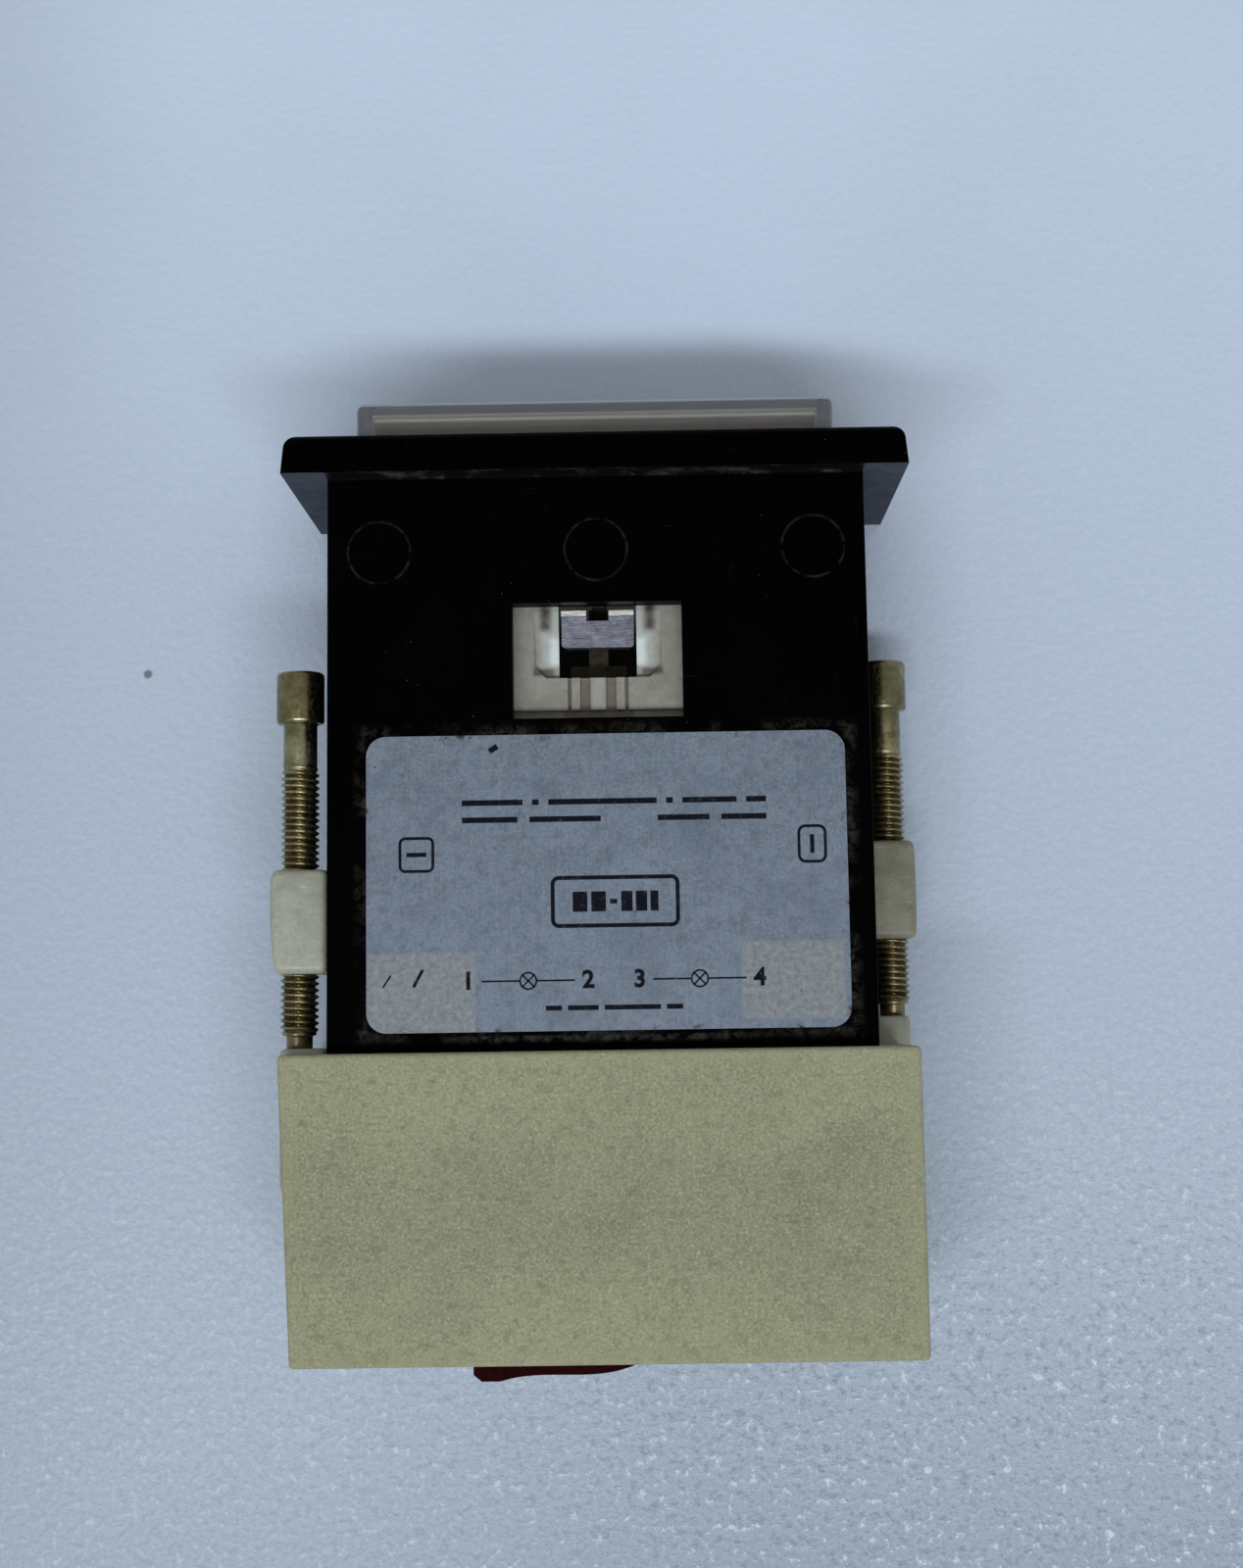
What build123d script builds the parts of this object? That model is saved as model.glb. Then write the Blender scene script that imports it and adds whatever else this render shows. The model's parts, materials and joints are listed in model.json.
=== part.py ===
"""Panel indicator module with a 24 x 48 mm front, two lamps and two clamp screws.

The module lies on its broad side: +Z is up, the lens faces -Y and the terminals face +Y.
Depths are measured from the rear face of the flange, which seats on the panel, and grow
towards the rear. The origin is the bottom centre of the whole module's box.
"""

from build123d import *
import os

# Front flange and housing
FLANGE_W = 48.0
FLANGE_H = 24.0
FLANGE_T = 3.15
FLANGE_DRAFT = 5.0
FLANGE_EDGE_R = 1.2
HOUSING_W = 41.35
HOUSING_H = 19.8
HOUSING_EDGE_R = 0.3
HOUSING_WALL_X = 2.45
HOUSING_WALL_Z = 2.0
SHOULDER_DEPTH = 43.9
SPIGOT_W = 39.3
SPIGOT_H = 17.8
HOUSING_END = 56.0
WINDOW_W = 13.0
WINDOW_START = 10.0
WINDOW_END = 18.9
RING_R = 2.5
RING_LINE = 0.2
RING_RISE = 0.08
RING_DEPTH = 5.9
RING_SPACING = 16.65
NUT_TRACK_H = 3.0
NUT_TRACK_DEEP = 1.0
NUT_TRACK_START = 17.5
NUT_TRACK_END = 40.5

# Lens cap, film and diffuser
LENS_W = 37.1
LENS_H = 18.0
LENS_REACH = 6.2
LENS_WALL = 0.8
LENS_SIDE_WALL = 1.15
LENS_CORNER_R = 0.8
LENS_EDGE_R = 0.65
LENS_RIM_DEPTH = -0.1
LENS_GAP = 0.1
FILM_T = 0.2
DIFFUSER_WALL = 0.9
DIFFUSER_RIM_DEPTH = -2.7
DIFFUSER_EDGE_R = 0.4

# Lamp carrier
CARRIER_GAP = 0.15
CARRIER_WALL = 1.2
CARRIER_START = 0.4
CARRIER_END = 36.5
CARRIER_REAR_T = 3.0
NOSE_START = -2.5
POCKET_W = 9.8
POCKET_END = 15.55
POCKET_START = 10.4
POCKET_DEEP = 0.7
POCKET_CORNER = 0.9
CATCH_GAP_W = 6.0
CATCH_GAP_START = 8.0
SILL_END = 18.05
SILL_DEEP = 0.5
SILL_GROOVE_DEEP = 0.35
BARRIER_T = 1.0
BARRIER_TOP = 16.0

# Latch in the window
LATCH_W = 5.6
LATCH_T = 0.4
LATCH_START = 10.3
LATCH_END = 13.1
LATCH_TOP = 19.0
LATCH_LIP_TOP = 19.75
LATCH_NOTCH_W = 1.75
LATCH_NOTCH_DEEP = 0.7
LATCH_CORNER_R = 0.3
LEAF_T = 0.3
LEAF_STEM_W = 1.5
LEAF_HEAD_W = 4.4

# Lamps, telephone slide base, 5.5 mm across
LAMP_X = 9.6
LAMP_TIP = 15.0
GLASS_R = 2.75
GLASS_T = 0.5
GLASS_END = 31.5
BASE_START = 31.0
BASE_COLLAR_END = 36.8
BASE_END = 45.0
BASE_W = 5.6
BASE_CORE_W = 4.9
CONTACT_H = 4.2
LAMP_HOLE = 5.8
WIRE_R = 0.15
FILAMENT_R = 1.2

# Terminals
STRIP_T = 0.5
STRIP_H = 2.8
SPRING_GAP = 0.08
SPRING_START = 38.0
TAB_END = 61.5
TAB_X = (15.2, 5.0)
INSULATOR_START = 50.0

# Rear block
BLOCK_H = 24.0
BLOCK_HALF_W = 23.55
BLOCK_FLARED_HALF_W = 24.1
BLOCK_REAR_HALF_W = 23.1
BLOCK_END = 66.5
BLOCK_END_WALL = 2.0
BLOCK_GAP = 0.1
BLOCK_EDGE_R = 0.4
WELL_W = 7.5
WELL_H = 10.0
WELL_RIB_T = 1.2
WELL_RIB_START = 57.0
CHANNEL_FLOOR = 20.78
CHANNEL_H = 4.1

# Clamp screws, M3, their nuts and feet
SCREW_X = 23.2
SCREW_RISE = 6.0
THREAD_R = 1.47
NECK_R = 1.3
HEAD_R = 1.85
HEAD_START = 14.6
HEAD_L = 4.0
NECK_END = 22.4
THREAD_END = 41.9
TAIL_R = 1.0
TAIL_END = 46.5
SLOT_W = 0.6
SLOT_DEEP = 1.0
NUT_START = 30.0
NUT_L = 7.9
NUT_INNER = 20.8
NUT_OUTER = 25.2
NUT_H = 5.2
NUT_CROWN = 0.25
NUT_CHAMFER = 0.5
THREAD_GAP = 0.05
FOOT_START = 43.5
FOOT_L = 10.5
FOOT_INNER = 20.88
FOOT_OUTER = 24.45
FOOT_H = 3.9
FOOT_DRIVE_R = 1.3
LEFT_SCREW_ADVANCE = 1.8
LEFT_NUT_ADVANCE = 2.35

# Label and pull tab
LABEL_W = 36.3
LABEL_L = 22.3
LABEL_T = 0.15
LABEL_START = 20.15
LABEL_CORNER_R = 1.5
LABEL_SHIFT = -0.5
TAB_LOW_X = -2.35
TAB_HIGH_X = 9.9
TAB_REACH = 68.0
TAB_THIN_REACH = 67.25
TAB_T = 0.9
TAB_Z = 19.6
TAB_START = 58.0
TAB_HEAD_EXTRA = 1.0
TAB_HEAD_L = 1.5

AXIS_Z = FLANGE_H / 2
SEAT_Y = (LENS_REACH - TAB_REACH) / 2
HOUSING_LOW_Z = AXIS_Z - HOUSING_H / 2
HOUSING_TOP_Z = AXIS_Z + HOUSING_H / 2
CAVITY_W = HOUSING_W - 2 * HOUSING_WALL_X
CAVITY_H = HOUSING_H - 2 * HOUSING_WALL_Z
LENS_IN_W = LENS_W - 2 * LENS_SIDE_WALL
LENS_IN_H = LENS_H - 2 * LENS_SIDE_WALL
CARRIER_W = CAVITY_W - 2 * CARRIER_GAP
CARRIER_H = CAVITY_H - 2 * CARRIER_GAP
CARRIER_TOP_Z = AXIS_Z + CARRIER_H / 2
CARRIER_LOW_Z = AXIS_Z - CARRIER_H / 2


def across(depth, x=0.0, z=AXIS_Z):
    """Plane across the module at a depth behind the seat, facing the rear, X kept as X."""
    return Plane((x, SEAT_Y + depth, z), x_dir=(-1, 0, 0), z_dir=(0, 1, 0))


def level(z, depth=0.0, x=0.0):
    """Horizontal plane at a height, with its origin at a depth behind the seat."""
    return Plane((x, SEAT_Y + depth, z))


def save(part, name):
    part.label = name
    export_step(part, f"parts/{name}.step")


def block_between(x_low, x_high, start, end, z_low, z_high):
    """Adds a straight-sided block to the part being built, or cuts it with a mode."""
    return Box(x_high - x_low, end - start, z_high - z_low, mode=Mode.PRIVATE).moved(
        Location(((x_low + x_high) / 2, SEAT_Y + (start + end) / 2, (z_low + z_high) / 2))
    )


def housing_shell():
    with BuildPart() as shell:
        with BuildSketch(Plane((0, SEAT_Y, AXIS_Z), x_dir=(1, 0, 0), z_dir=(0, -1, 0))):
            Rectangle(FLANGE_W, FLANGE_H)
        extrude(amount=FLANGE_T, taper=FLANGE_DRAFT)
        front = shell.faces().sort_by(Axis.Y)[0]
        fillet(front.edges(), FLANGE_EDGE_R)
        with BuildSketch(across(0)):
            RectangleRounded(HOUSING_W, HOUSING_H, HOUSING_EDGE_R)
        extrude(amount=SHOULDER_DEPTH)
        with BuildSketch(across(SHOULDER_DEPTH)):
            Rectangle(SPIGOT_W, SPIGOT_H)
        extrude(amount=HOUSING_END - SHOULDER_DEPTH)
        with BuildSketch(across(-FLANGE_T)):
            Rectangle(LENS_W + 2 * LENS_GAP, LENS_H + 2 * LENS_GAP)
        extrude(amount=FLANGE_T, mode=Mode.SUBTRACT)
        with BuildSketch(across(0)):
            Rectangle(CAVITY_W, CAVITY_H)
        extrude(amount=HOUSING_END, mode=Mode.SUBTRACT)
        window_middle = (WINDOW_START + WINDOW_END) / 2
        with BuildSketch(level(AXIS_Z, window_middle)):
            Rectangle(WINDOW_W, WINDOW_END - WINDOW_START)
        extrude(amount=FLANGE_H / 2, mode=Mode.SUBTRACT)
        with BuildSketch(level(HOUSING_TOP_Z, RING_DEPTH)):
            with Locations((-RING_SPACING, 0), (0, 0), (RING_SPACING, 0)):
                Circle(RING_R)
                Circle(RING_R - RING_LINE, mode=Mode.SUBTRACT)
        extrude(amount=RING_RISE)
        for side in (-1, 1):
            z = AXIS_Z + side * SCREW_RISE
            outer = side * HOUSING_W / 2
            inner = side * (HOUSING_W / 2 - NUT_TRACK_DEEP)
            add(block_between(min(inner, outer), max(inner, outer), NUT_TRACK_START, NUT_TRACK_END,
                              z - NUT_TRACK_H / 2, z + NUT_TRACK_H / 2), mode=Mode.SUBTRACT)
    return shell.part


def lens_cap():
    with BuildPart() as cap:
        with BuildSketch(across(-LENS_REACH)):
            RectangleRounded(LENS_W, LENS_H, LENS_CORNER_R)
        extrude(amount=LENS_REACH + LENS_RIM_DEPTH)
        front = cap.faces().sort_by(Axis.Y)[0]
        fillet(front.edges(), LENS_EDGE_R)
        with BuildSketch(across(-LENS_REACH + LENS_WALL)):
            Rectangle(LENS_IN_W, LENS_IN_H)
        extrude(amount=LENS_REACH, mode=Mode.SUBTRACT)
    return cap.part


def legend_film():
    with BuildPart() as film:
        with BuildSketch(across(-LENS_REACH + LENS_WALL + 0.02)):
            Rectangle(LENS_IN_W - 0.2, LENS_IN_H - 0.2)
        extrude(amount=FILM_T)
    return film.part


def diffuser():
    face_depth = -LENS_REACH + LENS_WALL + 0.02 + FILM_T + 0.03
    outer_w = LENS_IN_W - 0.2
    outer_h = LENS_IN_H - 0.2
    with BuildPart() as tray:
        with BuildSketch(across(face_depth)):
            RectangleRounded(outer_w, outer_h, DIFFUSER_EDGE_R)
        extrude(amount=DIFFUSER_RIM_DEPTH - face_depth)
        front = tray.faces().sort_by(Axis.Y)[0]
        fillet(front.edges(), DIFFUSER_EDGE_R / 2)
        with BuildSketch(across(face_depth + DIFFUSER_WALL)):
            Rectangle(outer_w - 2 * DIFFUSER_WALL, outer_h - 2 * DIFFUSER_WALL)
        extrude(amount=DIFFUSER_RIM_DEPTH - face_depth, mode=Mode.SUBTRACT)
    return tray.part


def lamp_carrier():
    nose_w = LENS_IN_W - 0.2
    nose_h = CARRIER_H
    roof_z = CARRIER_TOP_Z
    with BuildPart() as carrier:
        with BuildSketch(across(CARRIER_START)):
            Rectangle(CARRIER_W, CARRIER_H)
        extrude(amount=CARRIER_END - CARRIER_START)
        with BuildSketch(across(NOSE_START)):
            Rectangle(nose_w, nose_h)
        extrude(amount=CARRIER_START - NOSE_START)
        with BuildSketch(across(NOSE_START)):
            Rectangle(nose_w - 2 * CARRIER_WALL, nose_h - 2 * CARRIER_WALL)
        extrude(amount=CARRIER_END - CARRIER_REAR_T - NOSE_START, mode=Mode.SUBTRACT)
        with BuildSketch(across(CARRIER_END - CARRIER_REAR_T)):
            with Locations((-LAMP_X, 0), (LAMP_X, 0)):
                Rectangle(LAMP_HOLE, LAMP_HOLE)
        extrude(amount=CARRIER_REAR_T, mode=Mode.SUBTRACT)
        # The latch pocket: a ramp down to its rear wall, whose corners are cut off
        half = POCKET_W / 2
        with BuildPart(mode=Mode.SUBTRACT):
            with BuildSketch(level(roof_z - POCKET_DEEP)):
                with BuildLine():
                    Polyline(
                        (-half, POCKET_START),
                        (-half, POCKET_END - POCKET_CORNER),
                        (-half + POCKET_CORNER, POCKET_END),
                        (half - POCKET_CORNER, POCKET_END),
                        (half, POCKET_END - POCKET_CORNER),
                        (half, POCKET_START),
                        close=True,
                    )
                make_face()
            extrude(amount=POCKET_DEEP)
            with BuildSketch(Plane((-half, SEAT_Y, roof_z), x_dir=(0, 1, 0), z_dir=(1, 0, 0))):
                with BuildLine():
                    Polyline(
                        (POCKET_START, 0),
                        (POCKET_END, -POCKET_DEEP),
                        (POCKET_END, 0),
                        close=True,
                    )
                make_face()
            extrude(amount=POCKET_W, mode=Mode.INTERSECT)
        add(block_between(-CATCH_GAP_W / 2, CATCH_GAP_W / 2, CATCH_GAP_START, POCKET_END,
                          roof_z - 2 * CARRIER_WALL, roof_z), mode=Mode.SUBTRACT)
        # The roof steps down behind the sill, which has four grooves that leave three ribs
        add(block_between(-CARRIER_W / 2, CARRIER_W / 2, SILL_END, CARRIER_END,
                          roof_z - SILL_DEEP, roof_z), mode=Mode.SUBTRACT)
        for x, width in ((-2.2, 0.3), (-1.0, 0.8), (1.0, 0.8), (2.2, 0.3)):
            add(block_between(x - width / 2, x + width / 2, POCKET_END, SILL_END,
                              roof_z - SILL_GROOVE_DEEP, roof_z), mode=Mode.SUBTRACT)
    return carrier.part


def light_barrier():
    floor_z = CARRIER_LOW_Z + CARRIER_WALL
    with BuildPart() as barrier:
        with BuildSketch(level(floor_z, (NOSE_START + CARRIER_END - CARRIER_REAR_T) / 2)):
            Rectangle(BARRIER_T, CARRIER_END - CARRIER_REAR_T - NOSE_START)
        extrude(amount=BARRIER_TOP - floor_z)
    return barrier.part


def latch_plate():
    with BuildPart() as plate:
        with BuildSketch(level(LATCH_TOP - LATCH_T, (LATCH_START + LATCH_END) / 2)) as outline:
            Rectangle(LATCH_W, LATCH_END - LATCH_START)
            fillet(outline.vertices().group_by(Axis.Y)[-1], LATCH_CORNER_R)
        extrude(amount=LATCH_T)
        add(block_between(-LATCH_W / 2, LATCH_W / 2, LATCH_START, LATCH_START + LATCH_T,
                          LATCH_TOP, LATCH_LIP_TOP))
        hook_half = LATCH_W / 2 - LATCH_CORNER_R
        add(block_between(-hook_half, hook_half, LATCH_END - LATCH_T, LATCH_END,
                          LATCH_TOP - 3 * LATCH_T, LATCH_TOP - LATCH_T))
        add(block_between(-LATCH_NOTCH_W / 2, LATCH_NOTCH_W / 2, LATCH_START,
                          LATCH_START + LATCH_NOTCH_DEEP, LATCH_TOP - LATCH_T, LATCH_LIP_TOP),
            mode=Mode.SUBTRACT)
    return plate.part


def latch_leaf():
    with BuildPart() as leaf:
        with BuildSketch(level(BARRIER_TOP)):
            with Locations((0, 12.2)):
                Rectangle(LEAF_STEM_W, 5.0)
            with Locations((0, 14.7)):
                Rectangle(LEAF_HEAD_W, 1.0)
        extrude(amount=LEAF_T)
    return leaf.part


def lamp_glass(x):
    with BuildPart() as glass:
        with BuildSketch(Plane((x, SEAT_Y, AXIS_Z), x_dir=(1, 0, 0), z_dir=(0, 0, 1))):
            with BuildLine():
                Line((0, LAMP_TIP), (0, LAMP_TIP + GLASS_T))
                inner = GLASS_R - GLASS_T
                JernArc((0, LAMP_TIP + GLASS_T), (1, 0), inner, 90)
                Line((inner, LAMP_TIP + GLASS_R), (inner, GLASS_END - 0.8))
                Line((inner, GLASS_END - 0.8), (0, GLASS_END - 0.8))
                Line((0, GLASS_END - 0.8), (0, GLASS_END - 0.5))
                Line((0, GLASS_END - 0.5), (GLASS_R, GLASS_END - 0.5))
                Line((GLASS_R, GLASS_END - 0.5), (GLASS_R, LAMP_TIP + GLASS_R))
                JernArc((0, LAMP_TIP), (1, 0), GLASS_R, 90)
            make_face()
        revolve(axis=Axis((x, SEAT_Y, AXIS_Z), (0, 1, 0)))
    return glass.part


def lamp_base(x):
    with BuildPart() as base:
        with BuildSketch(across(BASE_START, x)):
            Rectangle(BASE_W, BASE_W)
        extrude(amount=BASE_COLLAR_END - BASE_START)
        with BuildSketch(across(BASE_COLLAR_END, x)):
            Rectangle(BASE_CORE_W, BASE_W)
        extrude(amount=BASE_END - BASE_COLLAR_END)
    return base.part


def lamp_contacts(x):
    contact_t = (BASE_W - BASE_CORE_W) / 2
    offset_x = (BASE_CORE_W + contact_t) / 2
    with BuildPart() as contacts:
        with BuildSketch(across(BASE_COLLAR_END, x)):
            with Locations((-offset_x, 0), (offset_x, 0)):
                Rectangle(contact_t, CONTACT_H)
        extrude(amount=BASE_END - 0.5 - BASE_COLLAR_END)
    return contacts.part


def lamp_filament(x):
    """Two lead wires joined by a half ring of filament."""
    bend = LAMP_TIP + 6.0
    foot = GLASS_END - 0.8
    with BuildPart() as filament:
        with BuildLine() as route:
            start = Vector(x - FILAMENT_R, SEAT_Y + foot, AXIS_Z)
            turn = Vector(x - FILAMENT_R, SEAT_Y + bend, AXIS_Z)
            Line(start, turn)
            JernArc(turn, (0, -1, 0), FILAMENT_R, 180)
            Line((x + FILAMENT_R, SEAT_Y + bend, AXIS_Z), (x + FILAMENT_R, SEAT_Y + foot, AXIS_Z))
        with BuildSketch(Plane(start, z_dir=(0, -1, 0))):
            Circle(WIRE_R)
        sweep(path=route.wire())
    return filament.part


def terminal_strip(lamp_x, outward, tab_x):
    """Contact spring beside a lamp base, cranked sideways to the flat tab at the rear."""
    contact_x = lamp_x + outward * (BASE_W / 2 + SPRING_GAP + STRIP_T / 2)
    with BuildPart() as strip:
        with BuildSketch(level(AXIS_Z - STRIP_H / 2)):
            with BuildLine():
                FilletPolyline(
                    (contact_x + outward * 0.6, SPRING_START),
                    (contact_x, SPRING_START + 1.8),
                    (contact_x, BASE_END + 0.5),
                    (tab_x, INSULATOR_START - 0.8),
                    (tab_x, TAB_END),
                    radius=0.8,
                )
            trace(line_width=STRIP_T)
        extrude(amount=STRIP_H)
    return strip.part


def terminal_base():
    with BuildPart() as base:
        with BuildSketch(across(INSULATOR_START)):
            Rectangle(CAVITY_W, CAVITY_H)
            with Locations(*[(side * x, 0) for side in (-1, 1) for x in TAB_X]):
                Rectangle(STRIP_T, STRIP_H, mode=Mode.SUBTRACT)
        extrude(amount=HOUSING_END - INSULATOR_START)
    return base.part


def rear_block():
    with BuildPart() as block:
        with BuildSketch(level(0)):
            with BuildLine():
                Polyline(
                    (-BLOCK_HALF_W, SHOULDER_DEPTH),
                    (BLOCK_FLARED_HALF_W, SHOULDER_DEPTH),
                    (BLOCK_REAR_HALF_W, BLOCK_END),
                    (-BLOCK_HALF_W, BLOCK_END),
                    close=True,
                )
            make_face()
        extrude(amount=BLOCK_H)
        fillet(block.edges(), BLOCK_EDGE_R)
        with BuildSketch(across(SHOULDER_DEPTH)):
            Rectangle(SPIGOT_W + 2 * BLOCK_GAP, SPIGOT_H + 2 * BLOCK_GAP)
        extrude(amount=BLOCK_END - BLOCK_END_WALL - SHOULDER_DEPTH, mode=Mode.SUBTRACT)
        low_z = AXIS_Z - SPIGOT_H / 2 - BLOCK_GAP
        for x in (-LAMP_X - 0.5, 0, LAMP_X + 0.5):
            add(block_between(x - WELL_RIB_T / 2, x + WELL_RIB_T / 2, WELL_RIB_START,
                              BLOCK_END - BLOCK_END_WALL, low_z, TAB_Z - 0.5))
        with BuildSketch(across(BLOCK_END - BLOCK_END_WALL)):
            with Locations(*[(side * x, 0) for side in (-1, 1) for x in TAB_X]):
                Rectangle(WELL_W, WELL_H)
        extrude(amount=BLOCK_END_WALL, mode=Mode.SUBTRACT)
        add(block_between(TAB_LOW_X - 0.2, TAB_HIGH_X + 0.2, BLOCK_END - BLOCK_END_WALL,
                          BLOCK_END, TAB_Z - 0.1, TAB_Z + TAB_T + 0.1), mode=Mode.SUBTRACT)
        for side in (-1, 1):
            z = AXIS_Z + side * SCREW_RISE
            x_pair = sorted((side * CHANNEL_FLOOR, side * FLANGE_W))
            add(block_between(*x_pair, SHOULDER_DEPTH, BLOCK_END,
                              z - CHANNEL_H / 2, z + CHANNEL_H / 2), mode=Mode.SUBTRACT)
    return block.part


def pull_tab():
    """Flat tab with a wider head inside the block; its outer end slants to a thin tip."""
    with BuildPart() as tab:
        with BuildSketch(level(TAB_Z)):
            with BuildLine():
                Line((TAB_LOW_X, TAB_START), (TAB_HIGH_X, TAB_START))
                Line((TAB_HIGH_X, TAB_START), (TAB_HIGH_X, TAB_REACH - 0.5))
                Line((TAB_HIGH_X, TAB_REACH - 0.5), (TAB_HIGH_X - 0.6, TAB_REACH))
                Line((TAB_HIGH_X - 0.6, TAB_REACH), (TAB_HIGH_X - 2.0, TAB_REACH))
                Spline((TAB_HIGH_X - 2.0, TAB_REACH), (3.5, TAB_REACH - 0.42),
                       (TAB_LOW_X + 1.2, TAB_THIN_REACH), (TAB_LOW_X, BLOCK_END + 0.3))
                Line((TAB_LOW_X, BLOCK_END + 0.3), (TAB_LOW_X, TAB_START))
            make_face()
            with Locations(((TAB_LOW_X + TAB_HIGH_X) / 2, TAB_START + TAB_HEAD_L / 2)):
                Rectangle(TAB_HIGH_X - TAB_LOW_X + 2 * TAB_HEAD_EXTRA, TAB_HEAD_L)
        extrude(amount=TAB_T)
    return tab.part


def clamp_screw(side, advance):
    """M3 screw: cylinder head at the panel end, plain neck, thread, slotted tail."""
    x = side * SCREW_X
    z = AXIS_Z + side * SCREW_RISE
    steps = (
        (HEAD_START, HEAD_L, HEAD_R),
        (HEAD_START + HEAD_L, NECK_END - HEAD_START - HEAD_L, NECK_R),
        (NECK_END, THREAD_END - NECK_END, THREAD_R),
        (THREAD_END, TAIL_END - THREAD_END, TAIL_R),
    )
    with BuildPart() as screw:
        for start, length, radius in steps:
            with BuildSketch(across(start - advance, x, z)):
                Circle(radius)
            extrude(amount=length)
        front = screw.edges().filter_by(GeomType.CIRCLE).sort_by(Axis.Y)[0]
        chamfer(front, 0.2)
        with BuildSketch(across(TAIL_END - SLOT_DEEP - advance, x, z)):
            Rectangle(SLOT_W, 2 * THREAD_R)
        extrude(amount=SLOT_DEEP, mode=Mode.SUBTRACT)
    return screw.part


def clamp_nut(side, advance):
    """Block nut with a crowned outer face and a tongue that runs in the housing's track."""
    x = side * SCREW_X
    z = AXIS_Z + side * SCREW_RISE
    start = NUT_START - advance
    with BuildPart() as nut:
        with BuildSketch(level(z - NUT_H / 2)):
            with BuildLine():
                inner = side * NUT_INNER
                outer = side * (NUT_OUTER - NUT_CROWN)
                crown = side * NUT_OUTER
                Line((inner, start), (outer, start))
                ThreePointArc((outer, start), (crown, start + NUT_L / 2), (outer, start + NUT_L))
                Line((outer, start + NUT_L), (inner, start + NUT_L))
                Line((inner, start + NUT_L), (inner, start))
            make_face()
        extrude(amount=NUT_H)
        chamfer(nut.edges().filter_by(GeomType.CIRCLE), NUT_CHAMFER)
        x_pair = sorted((side * NUT_INNER, side * (HOUSING_W / 2 - NUT_TRACK_DEEP + 0.1)))
        add(block_between(*x_pair, start, start + NUT_L,
                          z - NUT_TRACK_H / 2 + 0.1, z + NUT_TRACK_H / 2 - 0.1))
        with BuildSketch(across(start, x, z)):
            Circle(THREAD_R + THREAD_GAP)
        extrude(amount=NUT_L, mode=Mode.SUBTRACT)
    return nut.part


def screw_foot(side, advance):
    """Shoe on the screw's tail; a driver reaches the tail's slot through its rear bore."""
    x = side * SCREW_X
    z = AXIS_Z + side * SCREW_RISE
    start = FOOT_START - advance
    middle = side * (FOOT_INNER + FOOT_OUTER) / 2
    with BuildPart() as foot:
        with BuildSketch(across(start, middle, z)):
            RectangleRounded(FOOT_OUTER - FOOT_INNER, FOOT_H, 0.4)
        extrude(amount=FOOT_L)
        with BuildSketch(across(start, x, z)):
            Circle(TAIL_R + THREAD_GAP)
        extrude(amount=TAIL_END - FOOT_START + 0.1, mode=Mode.SUBTRACT)
        with BuildSketch(across(start + TAIL_END - FOOT_START + 0.1, x, z)):
            Circle(FOOT_DRIVE_R)
        extrude(amount=FOOT_L, mode=Mode.SUBTRACT)
    return foot.part


def rating_label():
    with BuildPart() as label:
        with BuildSketch(level(HOUSING_TOP_Z, LABEL_START + LABEL_L / 2, LABEL_SHIFT)):
            RectangleRounded(LABEL_W, LABEL_L, LABEL_CORNER_R)
        extrude(amount=LABEL_T)
    return label.part


os.makedirs("parts", exist_ok=True)
save(housing_shell(), "housing_shell")
save(lens_cap(), "lens_cap")
save(legend_film(), "legend_film")
save(diffuser(), "diffuser")
save(lamp_carrier(), "lamp_carrier")
save(light_barrier(), "light_barrier")
save(latch_plate(), "latch_plate")
save(latch_leaf(), "latch_leaf")
save(terminal_base(), "terminal_base")
save(rear_block(), "rear_block")
save(pull_tab(), "pull_tab")
save(rating_label(), "rating_label")
for lamp_name, lamp_side in (("left", -1), ("right", 1)):
    save(lamp_glass(lamp_side * LAMP_X), f"lamp_glass_{lamp_name}")
    save(lamp_base(lamp_side * LAMP_X), f"lamp_base_{lamp_name}")
    save(lamp_contacts(lamp_side * LAMP_X), f"lamp_contacts_{lamp_name}")
    save(lamp_filament(lamp_side * LAMP_X), f"lamp_filament_{lamp_name}")
strips = ((1, 1, 1, TAB_X[0]), (2, 1, -1, TAB_X[1]), (3, -1, 1, -TAB_X[1]), (4, -1, -1, -TAB_X[0]))
for number, lamp_side, outward, tab_x in strips:
    save(terminal_strip(lamp_side * LAMP_X, outward, tab_x), f"terminal_{number}")
for side_name, side, screw_advance, nut_advance in (
    ("right", 1, 0.0, 0.0),
    ("left", -1, LEFT_SCREW_ADVANCE, LEFT_NUT_ADVANCE),
):
    save(clamp_screw(side, screw_advance), f"clamp_screw_{side_name}")
    save(clamp_nut(side, nut_advance), f"clamp_nut_{side_name}")
    save(screw_foot(side, screw_advance), f"screw_foot_{side_name}")
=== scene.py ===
"""Looks of the panel indicator module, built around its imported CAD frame.

Lengths are in metres. MM turns millimetres into metres. Depths are measured from the
rear face of the flange (the panel seat) towards the terminals, as in the CAD source.
"""

import json
import math

import bmesh
import bpy
from mathutils import Matrix, Vector


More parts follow.
